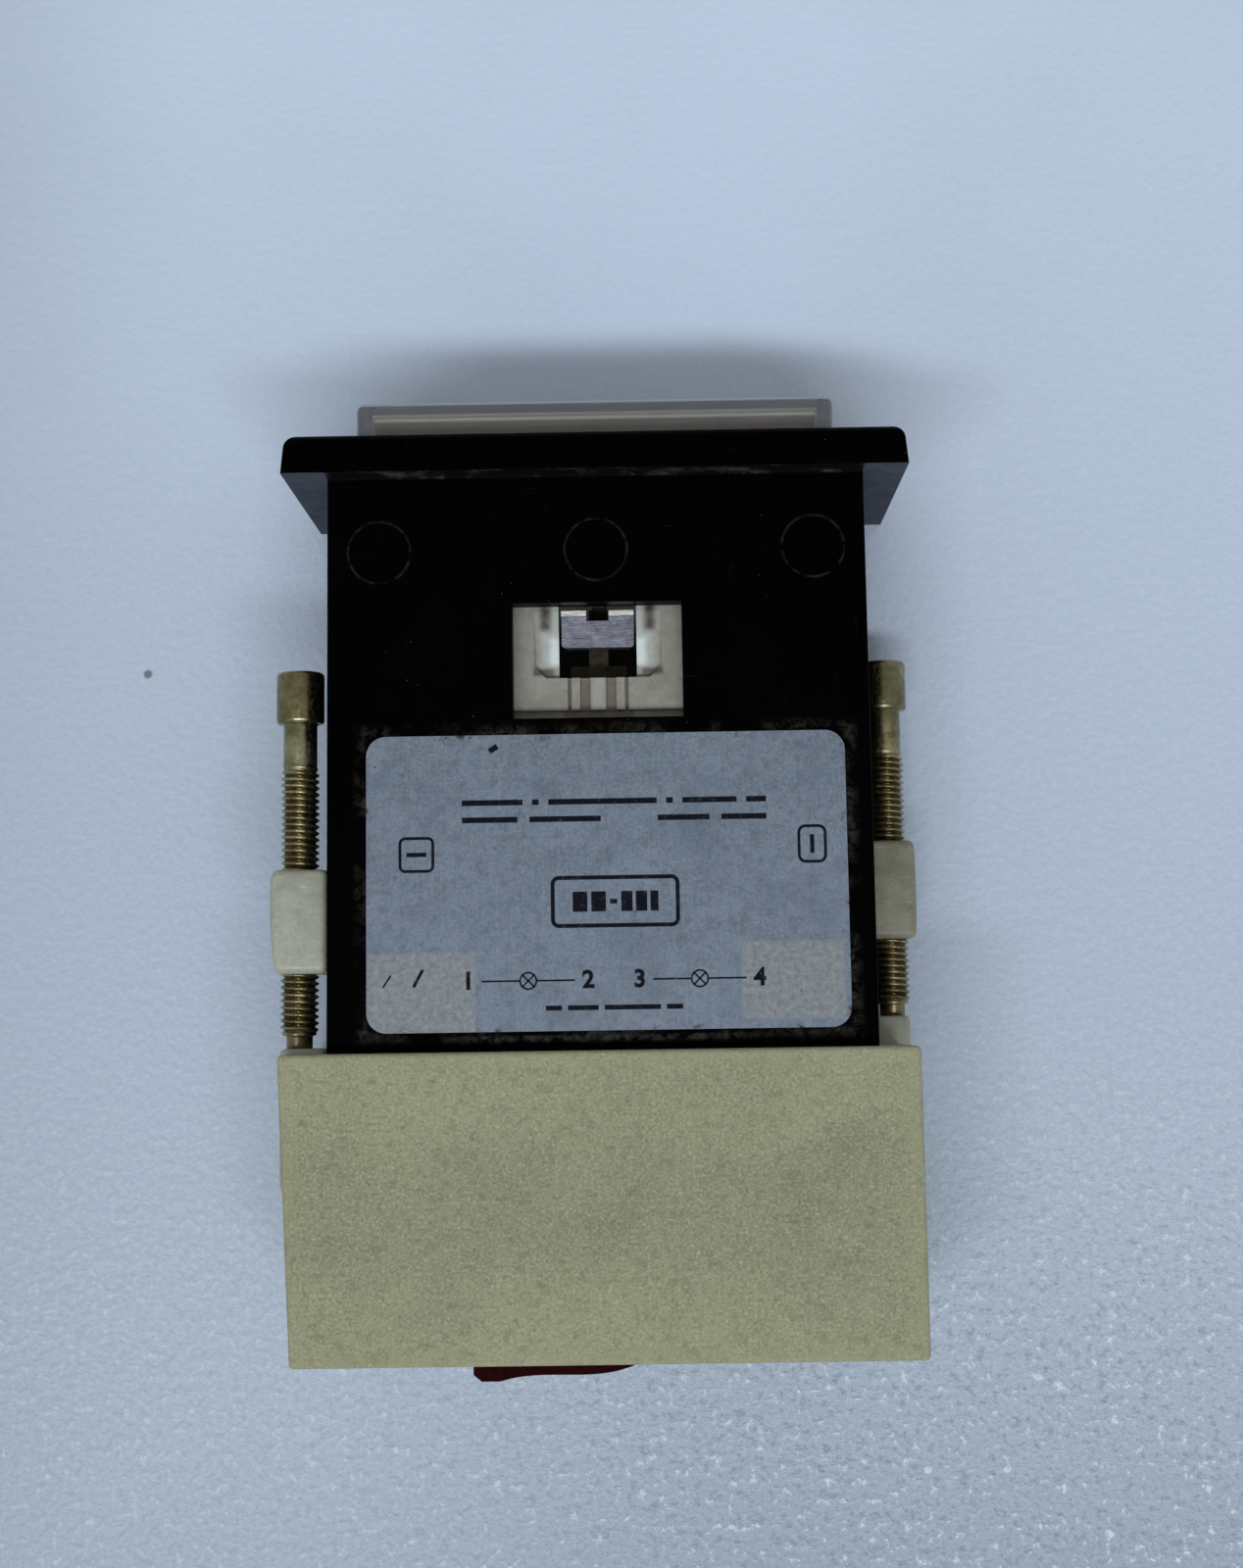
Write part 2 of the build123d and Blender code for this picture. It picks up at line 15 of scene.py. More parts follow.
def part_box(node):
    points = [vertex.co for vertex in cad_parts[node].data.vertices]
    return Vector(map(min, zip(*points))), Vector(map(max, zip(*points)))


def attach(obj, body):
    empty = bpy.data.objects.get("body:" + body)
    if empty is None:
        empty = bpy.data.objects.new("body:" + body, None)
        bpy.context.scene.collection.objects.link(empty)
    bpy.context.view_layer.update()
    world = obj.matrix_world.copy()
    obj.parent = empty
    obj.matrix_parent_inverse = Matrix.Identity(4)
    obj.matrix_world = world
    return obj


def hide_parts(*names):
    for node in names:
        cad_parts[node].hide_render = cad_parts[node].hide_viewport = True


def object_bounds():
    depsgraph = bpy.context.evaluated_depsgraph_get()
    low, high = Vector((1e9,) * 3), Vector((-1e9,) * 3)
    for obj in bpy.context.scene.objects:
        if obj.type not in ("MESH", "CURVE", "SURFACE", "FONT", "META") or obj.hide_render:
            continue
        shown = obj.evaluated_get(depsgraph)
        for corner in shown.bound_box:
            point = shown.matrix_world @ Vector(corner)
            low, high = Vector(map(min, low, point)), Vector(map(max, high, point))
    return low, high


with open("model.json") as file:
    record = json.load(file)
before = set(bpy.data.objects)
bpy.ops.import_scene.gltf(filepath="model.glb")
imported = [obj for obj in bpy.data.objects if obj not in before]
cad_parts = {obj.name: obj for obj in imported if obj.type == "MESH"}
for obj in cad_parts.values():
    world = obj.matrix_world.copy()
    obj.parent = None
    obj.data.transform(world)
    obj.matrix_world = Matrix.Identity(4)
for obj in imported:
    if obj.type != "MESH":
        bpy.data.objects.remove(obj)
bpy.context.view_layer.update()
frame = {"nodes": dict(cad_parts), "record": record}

MM = 0.001
MOUNTS = {mount["name"]: mount for mount in frame["record"]["mounts"]}
SEAT_Y = MOUNTS["panel_seat"]["pos_m"][1]
HOUSING_HALF_W = 20.675 * MM
# Centres of the three ring marks, and the radius of the middle of their raised line
RING_SPACING = 16.65 * MM
RINGS = (-RING_SPACING, 0.0, RING_SPACING)
RING_Y = SEAT_Y + 5.9 * MM
RING_LINE_R = 2.4 * MM
LENS_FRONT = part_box("lens_cap")[0].y
# Painted light and shade round the latch gap (a painted glow along the gap, painted dark reflections
# and shade in the pocket, a paler strip along the sill's middle): first and last depth, nearest and
# farthest from the axis, softness, colour and strength
GAP_LIGHT_AND_SHADE = (
    (11.9, 14.6, 2.7, 4.35, 0.45, (0.50, 0.56, 0.55), 0.75),
    (12.4, 14.5, 2.7, 3.7, 0.3, (0.72, 0.80, 0.80), 0.95),
    (9.5, 12.3, 2.9, 3.5, 0.25, (0.50, 0.55, 0.54), 0.7),
    (9.0, 11.8, 3.7, 4.4, 0.3, (0.045, 0.036, 0.028), 1.0),
    (14.75, 15.35, 3.4, 5.0, 0.22, (0.05, 0.045, 0.035), 0.9),
    (15.6, 18.0, -1.0, 0.42, 0.15, (0.42, 0.42, 0.42), 0.6),
)


def at(x, depth, z):
    """A point in metres from millimetres: X, depth behind the seat, height."""
    return Vector((x * MM, SEAT_Y + depth * MM, z * MM))


def depth_of(y):
    """Depth behind the seat in millimetres of a Y position in metres."""
    return (y - SEAT_Y) / MM


# ---------------------------------------------------------------- materials


class Surface:
    """One procedural material, with short names for the nodes it is made of."""

    def __init__(self, name, **settings):
        self.material = bpy.data.materials.new(name)
        self.material.use_nodes = True
        self.tree = self.material.node_tree
        self.tree.nodes.clear()
        output = self.node("ShaderNodeOutputMaterial")
        self.shader = self.node("ShaderNodeBsdfPrincipled")
        self.link(self.shader.outputs[0], output.inputs[0])
        self.place = self.node("ShaderNodeTexCoord").outputs["Object"]
        for key, value in settings.items():
            self.shader.inputs[key.replace("_", " ")].default_value = value

    def node(self, kind, **settings):
        made = self.tree.nodes.new(kind)
        for key, value in settings.items():
            setattr(made, key, value)
        return made

    def link(self, source, target):
        self.tree.links.new(source, target)

    def feed(self, source, target):
        """Links an output, or sets a constant, on an input socket."""
        if isinstance(source, bpy.types.NodeSocket):
            self.link(source, target)
        else:
            target.default_value = source

    def stretched(self, x=1.0, y=1.0, z=1.0):
        mapping = self.node("ShaderNodeMapping")
        mapping.inputs["Scale"].default_value = (x, y, z)
        self.link(self.place, mapping.inputs["Vector"])
        return mapping.outputs[0]

    def noise(self, size_mm, detail=4.0, roughness=0.5, place=None, warp=0.0):
        """Noise from 0 to 1 whose features are about this many millimetres across."""
        noise = self.node("ShaderNodeTexNoise")
        self.link(place or self.place, noise.inputs["Vector"])
        noise.inputs["Scale"].default_value = 1 / (size_mm * MM)
        noise.inputs["Detail"].default_value = detail
        noise.inputs["Roughness"].default_value = roughness
        noise.inputs["Distortion"].default_value = warp
        return noise.outputs["Fac"]

    def cells(self, size_mm, feature="F1", place=None):
        voronoi = self.node("ShaderNodeTexVoronoi", feature=feature)
        self.link(place or self.place, voronoi.inputs["Vector"])
        voronoi.inputs["Scale"].default_value = 1 / (size_mm * MM)
        return voronoi.outputs["Distance"]

    def span(self, value, low, high, to_low=0.0, to_high=1.0, smooth=False):
        """Maps low..high to to_low..to_high and clamps."""
        ramp = self.node("ShaderNodeMapRange", clamp=True)
        if smooth:
            ramp.interpolation_type = "SMOOTHSTEP"
        self.link(value, ramp.inputs["Value"])
        ramp.inputs["From Min"].default_value = low
        ramp.inputs["From Max"].default_value = high
        ramp.inputs["To Min"].default_value = to_low
        ramp.inputs["To Max"].default_value = to_high
        return ramp.outputs["Result"]

    def math(self, operation, first, second=0.0):
        node = self.node("ShaderNodeMath", operation=operation)
        self.feed(first, node.inputs[0])
        self.feed(second, node.inputs[1])
        return node.outputs[0]

    def product(self, first, *others):
        """Outputs or numbers multiplied together from left to right."""
        for other in others:
            first = self.math("MULTIPLY", first, other)
        return first

    def within(self, value, first, last, soft, smooth=False):
        """1 between two values and 0 outside them, blending over soft on either side of each."""
        rise = self.span(value, first - soft, first + soft, smooth=smooth)
        return self.product(rise, self.span(value, last - soft, last + soft, 1.0, 0.0, smooth))

    def mix(self, share, first, second):
        """Colour mix; first and second are colours or outputs."""
        node = self.node("ShaderNodeMix", data_type="RGBA")
        self.feed(share, node.inputs["Factor"])
        for value, socket in ((first, node.inputs[6]), (second, node.inputs[7])):
            self.feed((*value, 1.0) if isinstance(value, tuple) else value, socket)
        return node.outputs[2]

    def axes(self):
        split = self.node("ShaderNodeSeparateXYZ")
        self.link(self.place, split.inputs[0])
        return split.outputs

    def inside(self, low, high, soft_mm=0.1):
        """1 within the X and Y range between two corners in metres, 0 outside it."""
        x, y, _ = self.axes()
        soft = soft_mm * MM
        return self.product(self.within(x, low[0], high[0], soft), self.within(y, low[1], high[1], soft))

    def edge_distance(self, low, high):
        """Distance in metres outside an upright rectangle in X and Y, negative inside it."""
        x, y, _ = self.axes()
        sides = []
        for value, first, last in ((x, low[0], high[0]), (y, low[1], high[1])):
            offset = self.math("ABSOLUTE", self.math("SUBTRACT", value, (first + last) / 2))
            sides.append(self.math("SUBTRACT", offset, (last - first) / 2))
        return self.math("MAXIMUM", *sides)

    def colour(self, source):
        self.feed((*source, 1.0) if isinstance(source, tuple) else source,
                  self.shader.inputs["Base Color"])

    def rough(self, source):
        self.feed(source, self.shader.inputs["Roughness"])

    def relief(self, height, deep_mm, strength=1.0):
        """Bump from a height of 0 to 1 that stands for this many millimetres."""
        bump = self.node("ShaderNodeBump")
        bump.inputs["Distance"].default_value = deep_mm * MM
        bump.inputs["Strength"].default_value = strength
        self.link(height, bump.inputs["Height"])
        previous = self.shader.inputs["Normal"].links
        if previous:
            self.link(previous[0].from_socket, bump.inputs["Normal"])
        self.link(bump.outputs[0], self.shader.inputs["Normal"])

    def scratches(self, length_mm, width_mm, along="y", cover=0.62):
        """Thin streaks along one axis, 0 to 1, bent a little so that they don't look ruled."""
        scale = {"x": (width_mm / length_mm, 1, 1), "y": (1, width_mm / length_mm, 1),
                 "z": (1, 1, width_mm / length_mm)}[along]
        streak = self.noise(width_mm, 2.0, 0.6, self.stretched(*scale), warp=0.35)
        return self.span(streak, cover, cover + 0.08)


def black_plastic(label_low, label_high):
    """Satin black moulding with fine grain, hairline scratches and glue residue round the label."""
    s = Surface("black_housing", IOR=1.5, Specular_IOR_Level=0.012)
    x, y, z = s.axes()
    off_axis = s.math("ABSOLUTE", x)
    upper = s.span(z, label_low[2] - 0.03 * MM, label_low[2] + 0.05 * MM)
    cloud = s.span(s.noise(9.0, 5.0), 0.35, 0.7)
    base = s.mix(cloud, (0.0002, 0.0002, 0.0003), (0.0007, 0.0007, 0.0011))

    lint = s.product(s.scratches(3.0, 0.05, "x", 0.70), s.span(s.noise(6.0), 0.5, 0.65))
    hair = s.product(s.scratches(5.0, 0.06, "y", 0.71), s.span(s.noise(7.0), 0.5, 0.62))
    base = s.mix(s.product(s.math("MAXIMUM", lint, hair), 0.5), base, (0.055, 0.056, 0.06))
    dust = s.product(s.span(s.cells(0.9), 0.035, 0.06, 0.6, 0.0), s.span(s.noise(5.0), 0.55, 0.62))
    base = s.mix(dust, base, (0.11, 0.11, 0.105))

    for centre in RINGS:
        across = s.math("POWER", s.math("SUBTRACT", x, centre), 2.0)
        along = s.math("POWER", s.math("SUBTRACT", y, RING_Y), 2.0)
        reach = s.math("SQRT", s.math("ADD", across, along))
        off_line = s.math("ABSOLUTE", s.math("SUBTRACT", reach, RING_LINE_R))
        line = s.span(off_line, 0.05 * MM, 0.16 * MM, 1.0, 0.0)
        broken = s.span(s.noise(1.1, 5.0, 0.7), 0.42, 0.60)
        base = s.mix(s.product(line, broken, upper, 0.75), base, (0.024, 0.022, 0.022))

    # The flange's rear face carries painted light: a bluish painted reflection of the board beside the
    # housing, and uneven painted light where it stands above the roof
    rear_of_flange = s.product(s.span(y, SEAT_Y - 0.05 * MM, SEAT_Y),
                               s.span(y, SEAT_Y + 0.02 * MM, SEAT_Y + 0.25 * MM, 1.0, 0.0))
    beside = s.span(off_axis, HOUSING_HALF_W - 0.075 * MM, HOUSING_HALF_W + 0.075 * MM)
    # Painted reflection of the pale board on the rear face beside the housing
    haze = s.product(rear_of_flange, beside, s.span(s.noise(2.2, 5.0, 0.6), 0.34, 0.66, 0.7, 1.0))
    base = s.mix(haze, base, (0.072, 0.084, 0.116))
    # Uneven painted light on the rear face above the roof
    rear_light_share = s.math("ADD", s.span(beside, 0.0, 1.0, 0.08, 0.0),
                       s.product(s.span(s.noise(3.5, 5.0, 0.7), 0.52, 0.66), 0.8))
    painted_rear_light = s.product(rear_of_flange, rear_light_share, s.span(beside, 0.0, 1.0, 1.0, 0.0))
    base = s.mix(painted_rear_light, base, (0.075, 0.076, 0.075))

    outside = s.edge_distance(label_low, label_high)
    band = s.product(s.span(outside, -0.2 * MM, 0.1 * MM), s.span(outside, 0.1 * MM, 1.1 * MM, 1.0, 0.0))
    patches = s.span(s.noise(3.4, 3.0, 0.6), 0.44, 0.62)
    crumbs = s.span(s.noise(0.8, 6.0, 0.8, warp=0.6), 0.44, 0.60)
    glue = s.product(band, patches, crumbs)
    base = s.mix(s.product(glue, 0.7), base, (0.055, 0.053, 0.045))

    # A pale smear behind the label's rear edge, fading towards the sides
    rear = label_high[1]
    rear_strip = s.product(s.span(y, rear + 0.25 * MM, rear + 0.4 * MM),
                           s.span(y, rear + 0.7 * MM, rear + 0.95 * MM, 1.0, 0.0))
    smear = s.product(rear_strip, s.span(s.noise(1.1, 6.0, 0.7), 0.44, 0.58),
                      s.span(off_axis, 9.0 * MM, 13.0 * MM, 1.0, 0.0))
    base = s.mix(s.product(smear, upper, 0.85), base, (0.11, 0.11, 0.105))
    s.colour(base)
    s.rough(s.span(s.noise(1.6, 5.0, 0.6), 0.3, 0.75, 0.34, 0.5))
    s.relief(s.noise(0.12, 3.0), 0.004)
    s.relief(s.noise(4.0, 2.0), 0.03)
    s.relief(glue, 0.03)
    return s.material


def plain_black(name):
    s = Surface(name, IOR=1.5)
    s.colour(s.mix(s.noise(2.0, 5.0), (0.006, 0.006, 0.007), (0.014, 0.014, 0.014)))
    s.rough(s.span(s.noise(0.8, 4.0), 0.3, 0.7, 0.4, 0.6))
    s.relief(s.noise(0.15, 3.0), 0.005)
    return s.material


def ivory_block(low, high):
    """Aged ivory moulding with a spark-eroded grain, paler along its edges."""
    s = Surface("ivory_grain", IOR=1.48, Subsurface_Weight=0.12, Subsurface_Scale=0.001)
    _, y, _ = s.axes()
    outside = s.edge_distance(low, high)
    grain = s.noise(0.24, 6.0, 0.8, warp=0.3)
    cloud = s.span(s.noise(7.0, 4.0, 0.6), 0.32, 0.68)
    base = s.mix(cloud, (0.372, 0.392, 0.252), (0.425, 0.445, 0.288))
    off_middle = s.math("ABSOLUTE", s.math("SUBTRACT", y, (low.y + high.y) / 2))
    band = s.span(off_middle, 2.0 * MM, 8.5 * MM, 1.0, 0.0, True)
    base = s.mix(s.product(band, 0.3), base, (0.27, 0.29, 0.19))
    smudge = s.span(s.noise(11.0, 4.0, 0.6, warp=0.3), 0.50, 0.66)
    inner = s.span(outside, -4.5 * MM, -1.5 * MM, 1.0, 0.0, True)
    base = s.mix(s.product(smudge, inner, 0.5), base, (0.24, 0.245, 0.19))

    # Crests, pits and blotches of the grain; the pale crests are partly painted glints
    base = s.mix(s.span(grain, 0.51, 0.64), base, (0.58, 0.59, 0.43))
    base = s.mix(s.span(grain, 0.36, 0.47, 0.75, 0.0), base, (0.19, 0.20, 0.12))
    base = s.mix(s.span(s.noise(0.7, 5.0, 0.75), 0.50, 0.68, 0.0, 0.6), base, (0.20, 0.215, 0.13))

    edge = s.product(s.span(outside, -1.8 * MM, -0.2 * MM, smooth=True),
                     s.span(s.noise(1.6, 4.0), 0.3, 0.6))
    base = s.mix(s.product(edge, 0.55), base, (0.42, 0.43, 0.265))
    stain = s.span(s.noise(3.0, 6.0, 0.7), 0.62, 0.75)
    base = s.mix(s.product(stain, 0.3), base, (0.24, 0.25, 0.155))
    s.colour(base)
    s.rough(s.span(grain, 0.3, 0.7, 0.36, 0.6))
    s.relief(grain, 0.16)
    s.relief(s.noise(0.9, 4.0, 0.6), 0.06)
    s.relief(s.noise(5.0, 3.0), 0.12)
    return s.material


def nylon(name, low, high):
    """Natural nylon with soft light inside, grime in patches, and pale streaks that are partly scuffs
    from handling and partly painted gloss.
    """
    s = Surface(name, IOR=1.53, Subsurface_Weight=0.3, Subsurface_Scale=0.0012)
    base = s.mix(s.span(s.noise(1.8, 5.0, 0.65), 0.34, 0.66), low, high)
    grime = s.span(s.noise(0.35, 5.0, 0.7), 0.54, 0.70)
    base = s.mix(s.product(grime, 0.5), base, tuple(0.55 * value for value in low))
    # Pale streaks: scuffs, and painted gloss streaks
    scuff_and_sheen = s.product(s.scratches(0.9, 0.16, "x", 0.60), s.span(s.noise(1.6), 0.46, 0.60))
    base = s.mix(s.product(scuff_and_sheen, 0.35), base, tuple(1.3 * value for value in high))
    diagonal = s.node("ShaderNodeMapping")
    diagonal.inputs["Rotation"].default_value = (0.0, 0.0, math.radians(38))
    diagonal.inputs["Scale"].default_value = (0.12, 1.0, 1.0)
    s.link(s.place, diagonal.inputs["Vector"])
    nick = s.span(s.noise(0.12, 2.0, 0.6, diagonal.outputs[0], 0.4), 0.66, 0.72)
    base = s.mix(s.product(nick, 0.6), base, (0.62, 0.66, 0.58))
    s.colour(base)
    s.rough(s.span(s.noise(0.9, 4.0), 0.3, 0.7, 0.30, 0.52))
    s.relief(s.noise(0.5, 4.0), 0.02)
    s.relief(scuff_and_sheen, 0.01)
    return s.material


def yellow_zinc():
    """Yellow passivated steel: olive to brass with pink and green casts, with painted shade in the
    roots.
    """
    s = Surface("yellow_zinc", Metallic=1.0)
    base = s.mix(s.span(s.noise(1.4, 4.0), 0.36, 0.64), (0.19, 0.17, 0.085), (0.47, 0.42, 0.25))
    green = s.span(s.noise(2.2, 3.0, warp=0.6), 0.52, 0.68, 0.0, 0.6)
    base = s.mix(green, base, (0.42, 0.46, 0.30))
    pink = s.span(s.noise(1.1, 3.0, warp=0.9), 0.60, 0.72, 0.0, 0.5)
    base = s.mix(pink, base, (0.52, 0.34, 0.27))
    worn = s.span(s.noise(0.5, 5.0, 0.7), 0.60, 0.70)
    base = s.mix(s.product(worn, 0.6), base, (0.72, 0.70, 0.60))

    # The mesh marks how near each point is to a crest, with a higher mark on the head; the roots get
    # painted shade from it
    crest = s.node("ShaderNodeAttribute", attribute_name="crest").outputs["Fac"]
    base = s.mix(s.span(crest, 0.0, 0.85, 0.25, 1.0), (0.12, 0.085, 0.045), base)
    head = s.span(crest, 1.1, 1.4)
    olive = s.product(head, s.span(s.noise(1.3, 5.0, 0.7), 0.40, 0.60, 0.35, 0.9))
    base = s.mix(olive, base, (0.17, 0.165, 0.085))
    s.colour(base)
    uneven = s.span(s.noise(0.35, 5.0, 0.6), 0.3, 0.7, 0.24, 0.46)
    s.rough(s.math("SUBTRACT", uneven, s.product(head, 0.06)))
    s.relief(s.noise(0.25, 4.0, 0.6), 0.012)
    s.relief(s.scratches(1.2, 0.05, "y", 0.62), 0.006)
    return s.material


def label_foil(low, high):
    """Matt printed foil: mottled blue-grey silver, rubbed paler at both rear corners."""
    s = Surface("label_foil", Metallic=0.35, IOR=1.5)
    cloud = s.span(s.noise(3.0, 6.0, 0.65), 0.34, 0.68)
    base = s.mix(cloud, (0.122, 0.160, 0.222), (0.168, 0.212, 0.285))
    fine = s.noise(0.22, 4.0, 0.6)
    base = s.mix(s.span(fine, 0.40, 0.66, 0.0, 0.7), base, (0.235, 0.285, 0.350))
    base = s.mix(s.span(s.noise(0.8, 6.0, 0.75), 0.48, 0.68, 0.0, 0.7), base, (0.085, 0.110, 0.150))
    brushed = s.scratches(7.0, 0.22, "y", 0.50)
    base = s.mix(s.product(brushed, 0.13), base, (0.25, 0.295, 0.36))
    blotch = s.span(s.noise(5.5, 6.0, 0.7, warp=0.4), 0.50, 0.64)
    base = s.mix(s.product(blotch, 0.42), base, (0.105, 0.138, 0.20))
    width = high[0] - low[0]
    length = high[1] - low[1]
    # Shares of the label's width and length that each rubbed corner covers
    rubbed_areas = (
        ((low[0] + 0.775 * width, high[1] - 0.265 * length),
         (high[0] - 0.004 * width, high[1])),
        ((low[0] + 0.012 * width, high[1] - 0.29 * length),
         (low[0] + 0.225 * width, high[1] - 0.03 * length)),
    )
    for corner_low, corner_high in rubbed_areas:
        rubbed = s.inside(corner_low, corner_high, 0.12)
        rubbed = s.product(rubbed, s.span(s.noise(2.0, 6.0, 0.7), 0.28, 0.5, 0.6, 1.0))
        rub_tone = s.mix(s.span(s.noise(0.45, 6.0, 0.75), 0.36, 0.62), (0.15, 0.172, 0.185),
                         (0.285, 0.315, 0.325))
        base = s.mix(s.product(rubbed, 0.85), base, rub_tone)
    scratch = s.product(s.scratches(2.2, 0.07, "y", 0.68), s.span(s.noise(4.0), 0.50, 0.60))
    base = s.mix(s.product(scratch, 0.7), base, (0.06, 0.065, 0.07))
    pale = s.product(s.scratches(2.6, 0.08, "x", 0.69), s.span(s.noise(5.0), 0.48, 0.60))
    base = s.mix(s.product(pale, 0.6), base, (0.50, 0.54, 0.58))
    speck = s.product(s.span(s.cells(1.3), 0.04, 0.07, 1.0, 0.0), s.span(s.noise(4.5), 0.56, 0.60))
    base = s.mix(speck, base, (0.03, 0.03, 0.03))
    rim = s.span(s.edge_distance(low, high), -0.55 * MM, -0.05 * MM)
    nick = s.span(s.noise(2.4, 6.0, 0.75, warp=0.5), 0.58, 0.64)
    base = s.mix(s.product(rim, nick), base, (0.02, 0.02, 0.02))
    s.colour(base)
    s.rough(s.span(fine, 0.3, 0.7, 0.42, 0.6))
    s.relief(fine, 0.004)
    s.relief(s.noise(2.6, 4.0), 0.02)
    return s.material


def ink():
    s = Surface("black_ink", IOR=1.45, Specular_IOR_Level=0.1)
    worn = s.span(s.noise(0.5, 5.0, 0.7), 0.56, 0.72)
    s.colour(s.mix(s.product(worn, 0.55), (0.003, 0.004, 0.009), (0.07, 0.085, 0.12)))
    s.rough(s.span(s.noise(0.3), 0.3, 0.7, 0.5, 0.7))
    return s.material


def clear_plastic(name, tint, haze, front_y):
    """Clear moulding with faint haze and hairlines, and a pale blue painted highlight along its front
    edge.
    """
    s = Surface(name, IOR=1.49)
    _, y, _ = s.axes()
    # Painted highlight: the front edge is less clear and tinted pale blue
    clear = s.span(y, front_y + 0.22 * MM, front_y + 0.36 * MM, 0.2, 0.93)
    s.feed(clear, s.shader.inputs["Transmission Weight"])
    s.shader.inputs["Alpha"].default_value = 0.84
    body = s.mix(s.span(s.noise(3.0, 4.0), 0.3, 0.7), tint, tuple(0.9 * value for value in tint))
    s.colour(s.mix(s.span(clear, 0.2, 0.93), (0.50, 0.57, 0.68), body))
    hair = s.scratches(3.0, 0.06, "x", 0.66)
    s.rough(s.math("ADD", s.span(s.noise(1.2, 5.0), 0.35, 0.75, haze, haze + 0.12),
                   s.product(hair, 0.15)))
    s.relief(s.noise(1.0, 3.0), 0.006)
    s.relief(hair, 0.004)
    return s.material


def carrier_plastic(roof_z):
    """Cream translucent moulding with painted light and shade round the latch gap, darker in the sill's
    grooves.
    """
    s = Surface("carrier_cream", IOR=1.49, Subsurface_Weight=0.3, Subsurface_Scale=0.001)
    cloud = s.span(s.noise(2.0, 5.0, 0.65), 0.34, 0.66)
    base = s.mix(cloud, (0.275, 0.270, 0.232), (0.355, 0.355, 0.32))
    base = s.mix(s.span(s.noise(0.35, 5.0, 0.7), 0.50, 0.70, 0.0, 0.5), base, (0.20, 0.195, 0.165))
    x, y, z = s.axes()
    off_axis = s.math("ABSOLUTE", x)
    near_roof = s.span(z, roof_z - 1.6 * MM, roof_z - 1.2 * MM)
    # Painted light and shade round the latch gap
    for first, last, near, far, soft, tone, share in GAP_LIGHT_AND_SHADE:
        across = s.within(off_axis, near * MM, far * MM, soft * MM, True)
        along = s.within(y, SEAT_Y + first * MM, SEAT_Y + last * MM, soft * MM, True)
        uneven = s.span(s.noise(0.7, 4.0), 0.2, 0.5, 0.6, 1.0)
        base = s.mix(s.product(across, along, uneven, near_roof, share), base, tone)

    # The sill's grooves, which lie just below the roof, are darker
    low_place = s.span(z, roof_z - 0.30 * MM, roof_z - 0.12 * MM, 0.7, 0.0)
    sill = s.product(s.span(y, SEAT_Y + 15.5 * MM, SEAT_Y + 15.7 * MM),
                     s.span(y, SEAT_Y + 19.2 * MM, SEAT_Y + 19.6 * MM, 1.0, 0.0),
                     s.span(off_axis, 2.6 * MM, 2.8 * MM, 1.0, 0.0))
    base = s.mix(s.product(low_place, sill, near_roof), base, (0.12, 0.095, 0.07))
    s.colour(base)
    s.rough(s.span(s.noise(0.8, 4.0), 0.3, 0.7, 0.22, 0.42))
    s.relief(s.noise(0.4, 4.0), 0.02)
    return s.material


def diffusing_plastic(name, low, high, weight, size_m):
    """Milky moulding that spreads light, with slow colour drift and faint flow lines."""
    s = Surface(name, IOR=1.49, Subsurface_Weight=weight, Subsurface_Scale=size_m)
    base = s.mix(s.span(s.noise(3.0, 4.0), 0.3, 0.7), low, high)
    flow = s.scratches(4.0, 0.25, "y", 0.52)
    base = s.mix(s.product(flow, 0.12), base, tuple(0.75 * value for value in low))
    s.colour(base)
    s.rough(s.span(s.noise(0.8, 4.0), 0.3, 0.7, 0.26, 0.42))
    s.relief(s.noise(0.6, 4.0), 0.01)
    return s.material


def metal(name, low, high, roughness, grain_along="x"):
    """Sheet metal with a drawn grain, tarnish clouds and bright rubbed spots."""
    s = Surface(name, Metallic=1.0)
    base = s.mix(s.span(s.noise(1.2, 5.0, 0.6), 0.34, 0.66), low, high)
    drawn = s.scratches(2.5, 0.05, grain_along, 0.5)
    bright = tuple(min(1.0, 1.3 * value) for value in high)
    base = s.mix(s.product(drawn, 0.25), base, bright)
    s.colour(base)
    s.rough(s.span(s.noise(0.5, 5.0), 0.3, 0.7, roughness, roughness + 0.18))
    s.relief(drawn, 0.003)
    s.relief(s.noise(0.8, 3.0), 0.012)
    return s.material


def latch_steel(lip_z):
    """Grey spring steel, smeared and scratched, with a painted highlight along its upper lip."""
    s = Surface("spring_steel", Metallic=1.0)
    cloud = s.span(s.noise(0.9, 5.0, 0.65), 0.36, 0.64)
    base = s.mix(cloud, (0.16, 0.17, 0.21), (0.29, 0.30, 0.37))
    smear = s.scratches(1.2, 0.15, "x", 0.52)
    base = s.mix(s.product(smear, 0.12), base, (0.40, 0.41, 0.47))
    mottle = s.span(s.noise(1.1, 5.0, 0.7, warp=0.8), 0.50, 0.60)
    base = s.mix(s.product(mottle, 0.35), base, (0.42, 0.43, 0.50))
    _, _, z = s.axes()
    # Painted highlight on the top of the lip
    base = s.mix(s.span(z, lip_z - 0.25 * MM, lip_z - 0.05 * MM), base, (0.86, 0.84, 0.78))
    s.colour(base)
    s.rough(s.span(s.noise(0.5, 5.0), 0.3, 0.7, 0.38, 0.55))
    s.relief(s.noise(0.4, 4.0), 0.01)
    s.relief(smear, 0.004)
    return s.material


